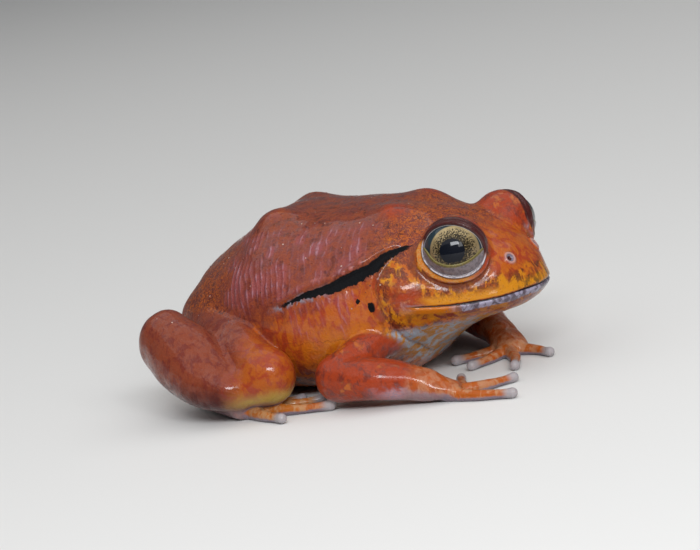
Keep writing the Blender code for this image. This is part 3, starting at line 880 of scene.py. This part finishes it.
class Wires:
    """Short calls that lay out the nodes of a material or of a node group."""

    def __init__(self, tree):
        self.tree = tree

    def plug(self, socket, value):
        if isinstance(value, bpy.types.NodeSocket):
            self.tree.links.new(value, socket)
        elif socket.type == "RGBA":
            socket.default_value = (*value, 1)
        else:
            socket.default_value = value

    def fill(self, node, **inputs):
        """Gives each named input (with _ for a space) its value or link."""
        for key, value in inputs.items():
            self.plug(node.inputs[key.replace("_", " ")], value)
        return node

    def node(self, kind, settings=(), **inputs):
        made = self.tree.nodes.new(kind)
        for key, value in dict(settings).items():
            setattr(made, key, value)
        return self.fill(made, **inputs)

    def value(self, name):
        return self.node("ShaderNodeAttribute", {"attribute_name": name}).outputs["Fac"]

    def maths(self, operation, *values, kind="ShaderNodeMath"):
        made = self.node(kind, {"operation": operation})
        for socket, value in zip(made.inputs, values):
            self.plug(socket, value)
        return made.outputs[0]

    def vector(self, operation, *values):
        return self.maths(operation, *values, kind="ShaderNodeVectorMath")

    def mask(self, value, low, high):
        """0 below low and 1 above high, or the other way round where low is the greater."""
        flip = low > high
        return self.node(
            "ShaderNodeMapRange", {"interpolation_type": "SMOOTHSTEP"}, Value=value,
            From_Min=min(low, high), From_Max=max(low, high),
            To_Min=1.0 if flip else 0.0, To_Max=0.0 if flip else 1.0,
        ).outputs[0]

    def noise(self, place, size, detail=3.0, roughness=0.55, distortion=0.0, shift=0.0):
        """Cloudy values round 0.5, with features of this size in the units of the place."""
        if shift:
            place = self.vector("ADD", place, (shift, shift * 0.7, -shift))
        scale = 1 / size if isinstance(size, (int, float)) else self.maths("DIVIDE", 1.0, size)
        return self.node(
            "ShaderNodeTexNoise", Vector=place, Scale=scale, Detail=detail, Roughness=roughness,
            Distortion=distortion,
        ).outputs["Fac"]

    def mix(self, share, under, over):
        made = self.node("ShaderNodeMix", {"data_type": "RGBA"})
        for index, value in ((0, share), (6, under), (7, over)):
            self.plug(made.inputs[index], value)
        return made.outputs[2]

    def times(self, *values):
        result = values[0]
        for other in values[1:]:
            result = self.maths("MULTIPLY", result, other)
        return result

    def plus(self, a, b):
        return self.maths("ADD", a, b)

    def minus(self, a, b):
        return self.maths("SUBTRACT", a, b)

    def most(self, a, b):
        return self.maths("MAXIMUM", a, b)

    def use(self, tree, **inputs):
        return self.node("ShaderNodeGroup", {"node_tree": tree}, **inputs).outputs


def new_material(name):
    """A material's wires, its shader and each point's place in design millimetres."""
    material = bpy.data.materials.new(name)
    material.use_nodes = True
    wires = Wires(material.node_tree)
    place = wires.node("ShaderNodeTexCoord").outputs["Object"]
    place = wires.vector("SUBTRACT", place, tuple(ORIGIN))
    place = wires.vector("MULTIPLY", place, (1 / MM, 1 / MM, 1 / MM))
    return material, wires, wires.tree.nodes["Principled BSDF"], place


def new_group(name, sizes, outputs):
    """A node group that takes a place and some sizes, and the wires to fill it with."""
    tree = bpy.data.node_groups.new(name, "ShaderNodeTree")
    tree.interface.new_socket("Place", in_out="INPUT", socket_type="NodeSocketVector")
    for socket, value in sizes.items():
        tree.interface.new_socket(socket, in_out="INPUT", socket_type="NodeSocketFloat").default_value = value
    for socket in outputs:
        tree.interface.new_socket(socket, in_out="OUTPUT", socket_type="NodeSocketFloat")
    wires = Wires(tree)
    return wires, wires.node("NodeGroupInput").outputs, wires.node("NodeGroupOutput")


def skin_grain_group():
    """Broad blotches, wavy streaks, fine grain and the height of the pebbled skin, each between 0 and 1."""
    sizes = {"Blotch size": 2.3, "Streak size": 1.1, "Grain size": 0.35}
    w, given, result = new_group("skin_grain", sizes, ("Blotches", "Streaks", "Grain", "Relief"))
    place = given["Place"]
    blotches = w.noise(place, given["Blotch size"], 4.0, 0.62, 0.5)
    wavy = w.noise(place, given["Streak size"], 2.0, 0.5, 1.6, shift=3.1)
    streaks = w.mask(w.maths("ABSOLUTE", w.minus(wavy, 0.5)), 0.06, 0.01)
    grain = w.noise(place, given["Grain size"], 3.0, 0.6, shift=7.7)
    pebbles = w.node(
        "ShaderNodeTexVoronoi", {"feature": "SMOOTH_F1"}, Vector=place, Scale=1.7, Smoothness=0.7
    ).outputs["Distance"]
    relief = w.plus(w.times(w.minus(1.0, pebbles), 0.5), w.times(grain, 0.35))
    relief = w.plus(relief, w.times(wavy, 1.1))
    w.fill(result, Blotches=blotches, Streaks=streaks, Grain=grain, Relief=relief)
    return w.tree


BRICK = (0.150, 0.024, 0.014)
WARM_BRICK = (0.205, 0.042, 0.018)
DEEP_RED = (0.060, 0.009, 0.007)
MAROON = (0.05, 0.010, 0.010)
ORANGE_RED = (0.30, 0.038, 0.010)
ORANGE = (0.40, 0.090, 0.008)
GOLD = (0.46, 0.130, 0.006)
YELLOW = (0.50, 0.190, 0.008)
ROSE = (0.42, 0.12, 0.10)
# Pale lilac of the painted highlight on the crests of the flank's wrinkles.
LILAC_SHEEN = (0.36, 0.17, 0.20)
PALE_RIM_HIGHLIGHT = (0.50, 0.46, 0.50)
PALE_BLUE = (0.30, 0.33, 0.38)
GREY_VIOLET = (0.17, 0.14, 0.18)
BLACK = (0.004, 0.004, 0.005)


def wet_skin(w, shader, colour, relief, rough=0.34, height=0.16):
    """Sets up a shader as wet skin of this colour and relief."""
    bump = w.node("ShaderNodeBump", Strength=0.8, Distance=height * MM, Height=relief)
    w.fill(
        shader, Base_Color=colour, Normal=bump.outputs[0], Roughness=rough, Specular_IOR_Level=0.10,
        Subsurface_Weight=0.06, Subsurface_Radius=(1.0, 0.35, 0.2), Subsurface_Scale=0.0008,
        Coat_Weight=0.45, Coat_Roughness=0.09, Coat_IOR=1.38,
    )


def skin_material(grain_tree):
    material, w, shader, place = new_material("wet_skin")
    at = w.node("ShaderNodeSeparateXYZ", Vector=place).outputs
    x, z = at[0], at[2]
    grain = w.use(grain_tree, Place=place)
    blotches, streaks, fine = grain["Blotches"], grain["Streaks"], grain["Grain"]
    broad = w.noise(place, 7.0, 2.0, 0.5, shift=1.3)
    upright = w.noise(w.vector("MULTIPLY", place, (1.0, 1.0, 0.45)), 1.5, 3.0, 0.6, 0.6, shift=5.0)
    uneven = w.minus(blotches, 0.5)

    def shifted(value, amount, by=uneven):
        return w.plus(value, w.times(by, amount))

    on_trunk = w.value("on_trunk")
    downward = w.value("downward")
    # Back and head: brick red with dark clouds and thin orange streaks.
    colour = w.mix(w.mask(blotches, 0.40, 0.60), WARM_BRICK, BRICK)
    colour = w.mix(w.times(w.mask(upright, 0.50, 0.66), 0.75), colour, DEEP_RED)
    colour = w.mix(w.times(w.mask(shifted(x, 8.0), -22.0, -34.0), 0.6), colour, DEEP_RED)
    warm = w.most(w.mask(x, 12.0, 20.0), w.mask(x, -16.0, -26.0))
    warm = w.plus(w.times(warm, 0.7), 0.25)
    colour = w.mix(w.times(streaks, warm), colour, ORANGE)
    # The flank below the stripe runs through orange to gold.
    edge = w.minus(w.minus(z, w.times(x, 0.3)), 22.0)
    flank = w.times(on_trunk, w.mask(shifted(edge, 9.0), 2.0, -4.0))
    side = w.mix(w.mask(upright, 0.42, 0.60), ORANGE, ORANGE_RED)
    golden = w.times(w.mask(x, -6.0, 8.0), w.mask(shifted(z, 8.0), 19.0, 12.0))
    side = w.mix(golden, side, w.mix(w.mask(blotches, 0.45, 0.62), GOLD, ORANGE))
    side = w.mix(w.times(w.mask(x, -2.0, -14.0), w.mask(blotches, 0.35, 0.6)), side, BRICK)
    colour = w.mix(flank, colour, side)
    # Cheeks, lips and the side of the snout: yellow with upright dark red blotches.
    edge = w.plus(z, w.times(w.minus(x, 20.0), 0.35))
    cheek = w.times(on_trunk, w.mask(x, 15.5, 18.0), w.mask(shifted(edge, 7.0), 31.5, 27.0))
    above_lip = w.mask(w.value("mouth_off"), 1.2, 3.0)
    blotch = w.times(w.mask(shifted(upright, 0.6), 0.43, 0.52), above_lip)
    clouds = w.mask(w.noise(place, 2.6, 3.0, 0.6, shift=6.0), 0.42, 0.56)
    yellow = w.mix(w.times(clouds, above_lip), YELLOW, ORANGE)
    cheeks = w.mix(w.times(blotch, 0.85), yellow, w.mix(w.mask(fine, 0.35, 0.6), WARM_BRICK, DEEP_RED))
    dots = w.times(w.mask(fine, 0.62, 0.68), w.mask(blotches, 0.45, 0.55))
    cheeks = w.mix(w.times(dots, 0.8), cheeks, DEEP_RED)
    snout_top = w.times(w.mask(x, 34.0, 37.5), w.mask(z, 21.5, 24.0))
    cheeks = w.mix(snout_top, cheeks, w.mix(streaks, ORANGE_RED, ORANGE))
    colour = w.mix(cheek, colour, cheeks)
    # Belly and throat: the downward-facing belly orange brown as painted shade; the throat in front yellow
    # with grey-blue patches.
    under = w.times(on_trunk, w.mask(shifted(downward, 0.8), 0.30, 0.75))
    colour = w.mix(under, colour, w.mix(w.mask(upright, 0.46, 0.58), ORANGE, BRICK))
    throat = w.times(on_trunk, w.mask(shifted(x, 6.0), 15.0, 18.5), w.mask(shifted(z, 3.0), 14.8, 13.0))
    colour = w.mix(throat, colour, w.mix(w.mask(blotches, 0.44, 0.56), (0.42, 0.17, 0.015), PALE_BLUE))
    # Arms: orange red with orange patches, violet under the wrist.
    off_trunk = w.minus(1.0, on_trunk)
    arms = w.times(off_trunk, w.mask(x, -1.0, 2.5))
    streaked = w.mix(w.mask(upright, 0.45, 0.6), BRICK, ORANGE_RED)
    arm = w.mix(w.mask(blotches, 0.42, 0.60), ORANGE_RED, streaked)
    arm = w.mix(w.times(w.mask(broad, 0.50, 0.62), w.mask(blotches, 0.5, 0.6)), arm, ORANGE)
    wrist = w.times(w.mask(x, 15.0, 22.0), w.mask(shifted(downward, 1.2), 0.0, 0.5))
    arm = w.mix(wrist, arm, w.mix(w.mask(fine, 0.4, 0.65), (0.42, 0.20, 0.21), (0.27, 0.19, 0.24)))
    colour = w.mix(arms, colour, arm)
    # Legs: brick red, with painted shade darkening them near the floor; the knee orange and yellow
    # underneath.
    legs = w.times(off_trunk, w.mask(x, 2.5, -1.0))
    leg = w.mix(w.mask(upright, 0.46, 0.62), WARM_BRICK, BRICK)
    leg = w.mix(w.mask(shifted(z, 6.0), 12.0, 4.0), leg, DEEP_RED)
    knee = w.mask(shifted(x, 4.0), -15.0, -8.0)
    leg = w.mix(w.times(knee, 0.8), leg, w.mix(w.mask(blotches, 0.42, 0.6), ORANGE, ORANGE_RED))
    leg = w.mix(w.times(knee, w.mask(shifted(z, 3.0), 7.5, 4.0)), leg, (0.38, 0.26, 0.06))
    colour = w.mix(legs, colour, leg)
    # Painted sheen on the flank's wrinkles: rosy over the wrinkled skin, pale lilac on each crest.
    crest = w.maths("SINE", w.times(w.value("wrinkle_turns"), 2 * math.pi))
    crest = w.mask(shifted(crest, 2.4), 0.35, 1.2)
    crest = w.times(crest, w.value("wrinkle_share"), w.mask(upright, 0.36, 0.56))
    colour = w.mix(w.times(w.value("wrinkle_share"), 0.55), colour, (0.27, 0.065, 0.080))
    colour = w.mix(w.times(crest, 0.85), colour, LILAC_SHEEN)
    # Painted shade in the floors of the cheek and throat folds.
    for name in ("cheek_off", "throat_off"):
        fold = w.mask(w.maths("ABSOLUTE", w.value(name)), 0.6, 0.0)
        colour = w.mix(w.times(fold, 0.55), colour, DEEP_RED)
    # The black stripe, ragged below, the blue-grey smear where it ends, its beads and the black spots.
    along = w.value("stripe_along")
    top, bottom = w.value("stripe_top"), w.value("stripe_bottom")
    smear = w.times(
        w.mask(shifted(bottom, 3.0), -1.2, 0.2), w.mask(top, -0.4, 0.4), w.mask(along, 17.0, 22.0),
        w.mask(along, 35.0, 30.0), w.mask(upright, 0.40, 0.56),
    )
    colour = w.mix(w.times(smear, 0.8), colour, w.mix(fine, PALE_BLUE, GREY_VIOLET))
    ragged = w.minus(w.noise(place, 0.8, 3.0, 0.6, shift=9.0), 0.5)
    ink = w.times(
        w.mask(shifted(top, 0.5, ragged), -0.12, 0.1), w.mask(shifted(bottom, 1.8, ragged), -0.12, 0.12),
        w.mask(along, 32.0, 29.0),
    )
    ink = w.most(ink, w.mask(shifted(w.value("spot_off"), 0.6, ragged), 1.08, 0.92))
    colour = w.mix(w.times(w.mask(w.value("bead"), 0.3, 0.8), 0.7), colour, ROSE)
    colour = w.mix(ink, colour, BLACK)
    # Lids: maroon band above, painted highlights on the wet rims, painted shade in grooves, yellow ridge
    # below.
    ring, height, from_lid = w.value("lid_place"), w.value("lid_height"), w.value("lid_away")
    upper = w.mask(height, -0.15, 0.2)
    lower = w.minus(1.0, upper)
    from_band = w.minus(from_lid, w.times(w.mask(height, 0.2, 0.9), 1.3))
    at_corners = w.mask(w.maths("ABSOLUTE", height), 0.75, 0.35)
    corner_line = w.times(w.mask(shifted(from_lid, 2.4), 1.9, 1.4), at_corners)
    colour = w.mix(w.times(upper, corner_line), colour, w.mix(w.mask(fine, 0.4, 0.6), ORANGE, GOLD))
    band = w.times(upper, w.mask(shifted(from_band, 0.8), 1.6, 1.2))
    colour = w.mix(band, colour, w.mix(fine, MAROON, DEEP_RED))
    # Painted shade in the furrow outside the yellow ridge.
    furrow_shade = w.times(lower, w.mask(from_lid, 1.9, 2.3), w.mask(shifted(from_lid, 3.0), 3.6, 3.0))
    colour = w.mix(w.times(furrow_shade, 0.75), colour, (0.14, 0.028, 0.010))
    # The ridge below the lid: its own gold, mixed with pale tan that is painted highlight.
    ridge = w.times(lower, w.mask(shifted(from_lid, 2.4), 1.75, 1.3), w.mask(x, 37.0, 33.0))
    colour = w.mix(ridge, colour, w.mix(w.mask(fine, 0.4, 0.65), GOLD, (0.42, 0.21, 0.06)))
    # Painted shade in the narrow groove just outside the lower rim.
    colour = w.mix(w.times(lower, w.mask(from_lid, 0.75, 0.5)), colour, (0.09, 0.045, 0.02))
    # Painted highlight on the lower lid's wet rim.
    pale = w.mix(w.mask(blotches, 0.45, 0.6), PALE_RIM_HIGHLIGHT, (0.20, 0.17, 0.19))
    colour = w.mix(w.times(lower, w.mask(from_lid, 0.26, 0.18)), colour, pale)
    inner = w.mask(ring, 0.995, 0.98)
    colour = w.mix(inner, colour, w.mix(upper, (0.15, 0.13, 0.15), (0.035, 0.012, 0.012)))
    # Painted highlight on the upper lid's wet rim.
    colour = w.mix(w.times(upper, w.mask(ring, 0.972, 0.966)), colour, (0.34, 0.31, 0.30))
    # Near-black painted shadow on the skin inside the opening, under the lids' edges.
    colour = w.mix(w.mask(ring, 0.955, 0.945), colour, (0.012, 0.012, 0.018))
    # Mouth and lower lip.
    mouth = w.value("mouth_off")
    in_mouth = w.mask(x, 22.0, 24.5)
    below_lip = w.times(in_mouth, w.mask(shifted(mouth, 1.2), -3.2, -2.6), w.mask(mouth, -0.8, -1.2))
    colour = w.mix(below_lip, colour, w.mix(w.mask(blotches, 0.42, 0.58), (0.36, 0.12, 0.008), BRICK))
    lip = w.times(in_mouth, w.mask(shifted(mouth, 1.0), -1.75, -1.35), w.mask(mouth, 0.1, -0.1))
    patchy = w.most(w.mask(x, 28.5, 33.0), w.mask(blotches, 0.57, 0.62))
    lips = w.mix(w.mask(upright, 0.42, 0.58), (0.30, 0.27, 0.36), (0.10, 0.075, 0.10))
    colour = w.mix(lip, colour, w.mix(patchy, GOLD, lips))
    line = w.times(in_mouth, w.mask(mouth, 0.26, 0.12), w.mask(mouth, -0.26, -0.12))
    colour = w.mix(line, colour, (0.012, 0.006, 0.006))
    # Nostril.
    away = w.value("nostril_away")
    colour = w.mix(w.mask(away, 1.6, 1.2), colour, (0.42, 0.22, 0.19))
    colour = w.mix(w.mask(away, 0.95, 0.75), colour, GREY_VIOLET)
    colour = w.mix(w.mask(away, 0.52, 0.40), colour, (0.05, 0.006, 0.004))
    # The snout's tip is mottled dark.
    muzzle = w.times(
        on_trunk, w.mask(x, 40.0, 42.5), w.mask(shifted(z, 4.0), 23.0, 21.0), w.mask(mouth, 0.2, 0.5),
    )
    colour = w.mix(w.times(muzzle, w.mask(upright, 0.44, 0.60), 0.75), colour, (0.05, 0.030, 0.012))
    # Hands and feet.
    digit = w.value("digit")
    toes = w.mix(w.mask(upright, 0.42, 0.6), ORANGE, (0.45, 0.21, 0.10))
    colour = w.mix(w.times(digit, 0.85), colour, toes)
    sole = w.times(digit, w.mask(shifted(downward, 0.6), 0.0, 0.4))
    colour = w.mix(sole, colour, w.mix(w.mask(fine, 0.4, 0.65), GREY_VIOLET, (0.24, 0.16, 0.18)))
    colour = w.mix(w.value("tip"), colour, (0.34, 0.31, 0.32))

    relief = w.plus(grain["Relief"], w.times(crest, 0.8))
    wet_skin(w, shader, colour, relief)
    film = w.plus(w.times(w.mask(shifted(blotches, 0.6, w.minus(fine, 0.5)), 0.40, 0.62), 0.6), 0.25)
    rough = w.plus(w.times(ink, 0.4), 0.34)
    w.fill(shader, Roughness=rough, Coat_Weight=w.times(w.minus(1.0, ink), film))
    return material


def lower_lid_material(grain_tree):
    material, w, shader, place = new_material("lower_lid_skin")
    grain = w.use(grain_tree, Place=place, Blotch_size=0.8, Grain_size=0.2)
    edge = w.value("from_edge")
    colour = w.mix(w.mask(grain["Blotches"], 0.42, 0.6), (0.19, 0.155, 0.165), (0.12, 0.095, 0.105))
    border = w.mix(w.mask(grain["Grain"], 0.4, 0.6), (0.17, 0.13, 0.03), (0.08, 0.06, 0.03))
    colour = w.mix(w.mask(edge, 0.75, 0.40), colour, border)
    colour = w.mix(w.mask(edge, 0.16, 0.06), colour, (0.19, 0.155, 0.05))
    wet_skin(w, shader, colour, grain["Relief"], 0.22, 0.04)
    return material


def speck_material(grain_tree):
    material, w, shader, place = new_material("speck_skin")
    grain = w.use(grain_tree, Place=place)
    colour = w.mix(w.mask(grain["Blotches"], 0.40, 0.60), WARM_BRICK, BRICK)
    pale = w.mask(w.noise(place, 1.6, 1.0, 0.5, shift=4.0), 0.60, 0.68)
    dark = w.mask(w.noise(place, 1.6, 1.0, 0.5, shift=8.0), 0.64, 0.70)
    colour = w.mix(pale, colour, (0.50, 0.36, 0.30))
    colour = w.mix(dark, colour, MAROON)
    wet_skin(w, shader, colour, grain["Relief"])
    return material


def eye_material():
    material, w, shader, _ = new_material("eye_glaze")
    x, y, front = w.value("iris_x"), w.value("iris_y"), w.value("iris_z")
    where = w.node("ShaderNodeCombineXYZ", X=x, Y=y).outputs[0]

    def from_middle(shift_x):
        moved = w.minus(x, shift_x)
        return w.maths("SQRT", w.plus(w.times(moved, moved), w.times(y, y)))

    behind = w.times(w.mask(front, 0.1, -0.1), 9.0)
    ring = w.plus(from_middle(0.45), behind)
    pupil = w.most(w.maths("DIVIDE", from_middle(0.15), 2.62), w.maths("DIVIDE", y, -2.35))
    closeness = w.mask(ring, 4.6, 2.5)
    specks = w.noise(where, 0.30, 2.0, 0.6, 0.3)
    specks = w.mask(w.plus(specks, w.times(closeness, 0.13)), 0.525, 0.565)
    nets = w.noise(where, 0.7, 3.0, 0.6, 1.2, shift=2.0)
    nets = w.mask(w.plus(nets, w.times(closeness, 0.08)), 0.55, 0.60)
    gold = w.mix(w.mask(y, 0.5, 4.0), (0.22, 0.155, 0.075), (0.50, 0.38, 0.18))
    gold = w.mix(w.noise(where, 1.4, 2.0), gold, (0.19, 0.135, 0.065))
    dark = w.most(specks, w.times(nets, 0.7))
    colour = w.mix(w.times(dark, w.mask(ring, 4.8, 4.3)), gold, (0.02, 0.014, 0.006))
    # Dark teal beyond the iris and at grazing angles: the dark sclera, with painted reflection of the sky in
    # the cornea.
    slanting = w.node("ShaderNodeLayerWeight", Blend=0.5).outputs["Facing"]
    sclera_and_reflection = w.most(w.mask(ring, 4.95, 5.15), w.mask(slanting, 0.62, 0.80))
    colour = w.mix(sclera_and_reflection, colour, (0.012, 0.028, 0.038))
    colour = w.mix(w.mask(pupil, 1.02, 0.97), colour, (0.001, 0.002, 0.006))
    w.fill(
        shader, Base_Color=colour, Roughness=0.5, Specular_IOR_Level=0.05, Coat_Weight=1.0,
        Coat_Roughness=0.01, Coat_IOR=1.32,
    )
    return material


def specks_tree(material):
    """Scatters small low grains over a surface where its speck_share is high, and keeps only the grains."""
    tree = bpy.data.node_groups.new("skin_specks", "GeometryNodeTree")
    kinds = {"Geometry": "NodeSocketGeometry", "Seed": "NodeSocketInt"}
    for name in ("Geometry", "Spacing", "Density", "Smallest", "Largest", "Flatness", "Seed"):
        kind = kinds.get(name, "NodeSocketFloat")
        tree.interface.new_socket(name, in_out="INPUT", socket_type=kind)
    tree.interface.new_socket("Geometry", in_out="OUTPUT", socket_type="NodeSocketGeometry")
    w = Wires(tree)
    given = w.node("NodeGroupInput").outputs
    share = w.node(
        "GeometryNodeInputNamedAttribute", {"data_type": "FLOAT"}, Name="speck_share"
    ).outputs["Attribute"]
    scatter = w.node(
        "GeometryNodeDistributePointsOnFaces", {"distribute_method": "POISSON"}, Mesh=given["Geometry"],
        Distance_Min=given["Spacing"], Density_Max=given["Density"], Density_Factor=share,
        Seed=given["Seed"],
    )
    grain = w.node("GeometryNodeMeshUVSphere", Segments=8, Rings=5, Radius=1.0).outputs["Mesh"]
    grain = w.node("GeometryNodeSetShadeSmooth", Geometry=grain).outputs[0]
    size = w.node("FunctionNodeRandomValue", {"data_type": "FLOAT"})
    for index, value in ((2, given["Smallest"]), (3, given["Largest"]), (8, given["Seed"])):
        w.plug(size.inputs[index], value)
    size = size.outputs[1]
    shape = w.node("ShaderNodeCombineXYZ", X=size, Y=size, Z=w.times(size, given["Flatness"])).outputs[0]
    spread = w.node(
        "GeometryNodeInstanceOnPoints", Points=scatter.outputs["Points"], Instance=grain,
        Rotation=scatter.outputs["Rotation"], Scale=shape,
    ).outputs[0]
    solid = w.node("GeometryNodeRealizeInstances", Geometry=spread).outputs[0]
    painted = w.node("GeometryNodeSetMaterial", Geometry=solid, Material=material).outputs[0]
    w.node("NodeGroupOutput", Geometry=painted)
    return tree


def make_specks(skin, material):
    tree = specks_tree(material)
    settings = {
        "Spacing": 1.2 * MM, "Density": 0.14 / MM**2, "Smallest": 0.10 * MM, "Largest": 0.24 * MM,
        "Flatness": 0.35, "Seed": 11,
    }
    host = piece("speck_host", skin.data.copy())
    modifier = host.modifiers.new("specks", "NODES")
    modifier.node_group = tree
    for socket in tree.interface.items_tree:
        if socket.name in settings:
            modifier[socket.identifier] = settings[socket.name]
    bpy.context.view_layer.update()
    found = host.evaluated_get(bpy.context.evaluated_depsgraph_get())
    mesh = bpy.data.meshes.new_from_object(found)
    mesh.name = "skin_specks"
    spare = host.data
    bpy.data.objects.remove(host)
    bpy.data.meshes.remove(spare)
    print("speck faces", len(mesh.polygons))
    return piece("skin_specks", mesh)


def make_camera():
    """The photo's viewpoint: 30 degrees round from the frog's right side, 11 degrees up, rolled by 10."""
    azimuth, elevation, roll = math.radians(30), math.radians(11), math.radians(10)
    pixels_per_metre, distance = 4800.0, 0.6
    anchor = Vector((0.045, 0, 0.020)) + Vector(ORIGIN)
    anchor_pixel, frame_middle = (548, 270), (350, 275)
    picture_width, sensor_width = 700, 36
    back = Vector((
        math.sin(azimuth) * math.cos(elevation), -math.cos(azimuth) * math.cos(elevation), math.sin(elevation)
    ))
    level = Vector((math.cos(azimuth), math.sin(azimuth), 0))
    upright = back.cross(level)
    right = level * math.cos(roll) - upright * math.sin(roll)
    up = level * math.sin(roll) + upright * math.cos(roll)
    place = anchor + back * distance
    place -= right * (anchor_pixel[0] - frame_middle[0]) / pixels_per_metre
    place -= up * (frame_middle[1] - anchor_pixel[1]) / pixels_per_metre
    data = bpy.data.cameras.new("camera")
    data.sensor_width = sensor_width
    data.lens = pixels_per_metre * distance * sensor_width / picture_width
    data.clip_start, data.clip_end = 0.01, 20
    camera = bpy.data.objects.new("camera", data)
    camera.matrix_world = Matrix.LocRotScale(place, Matrix((right, up, back)).transposed(), None)
    bpy.context.scene.collection.objects.link(camera)
    bpy.context.scene.camera = camera
    return right, up, back


def area_light(name, towards, distance, size, energy, colour=(1, 1, 1)):
    data = bpy.data.lights.new(name, "AREA")
    data.shape = "RECTANGLE"
    data.size, data.size_y = size
    data.energy = energy
    data.color = colour
    obj = bpy.data.objects.new(name, data)
    towards = Vector(towards).normalized()
    middle = Vector(ORIGIN) + Vector((0, 0, 0.02))
    obj.location = middle + towards * distance
    obj.rotation_mode = "QUATERNION"
    obj.rotation_quaternion = towards.to_track_quat("Z", "Y")
    obj.visible_camera = False
    bpy.context.scene.collection.objects.link(obj)


def make_stage(right, up, back):
    mesh = bpy.data.meshes.new("floor")
    half = 6.0
    corners = [(-half, -half, 0), (half, -half, 0), (half, half, 0), (-half, half, 0)]
    mesh.from_pydata(corners, [], [(0, 1, 2, 3)])
    floor = piece("floor", mesh)
    material, w, shader, _ = new_material("pale_floor")
    w.fill(shader, Base_Color=(0.72, 0.71, 0.69), Roughness=0.7)
    mesh.materials.append(material)
    world = bpy.data.worlds.new("studio")
    world.use_nodes = True
    w = Wires(world.node_tree)
    w.fill(w.tree.nodes["Background"], Color=(0.86, 0.90, 0.95), Strength=0.17)
    bpy.context.scene.world = world
    area_light("overhead", (0.05, -0.1, 1.0), 0.9, (2.4, 2.0), 13.0)
    area_light("window", back * 0.92 + up * 0.37 - right * 0.02, 0.9, (0.44, 0.17), 4.8, (0.93, 0.96, 1.0))
    area_light("side_window", (0.75, -0.55, 0.45), 0.9, (0.30, 0.25), 1.4)
    bpy.context.scene.view_settings.view_transform = "Standard"


camera_axes = make_camera()
make_stage(*camera_axes)

grain_tree = skin_grain_group()
skin = make_skin()
skin.data.materials.append(skin_material(grain_tree))
specks = make_specks(skin, speck_material(grain_tree))
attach(skin, "root")
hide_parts(*SKIN_NODES)
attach(specks, "root")

eye_glaze, lid_skin = eye_material(), lower_lid_material(grain_tree)
for tag in SIDES:
    eyeball = make_eyeball(tag)
    eyeball.data.materials.append(eye_glaze)
    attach(eyeball, "root")
    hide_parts(f"eye_{tag}")
    lower_lid = make_lower_lid(tag)
    lower_lid.data.materials.append(lid_skin)
    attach(lower_lid, "root")
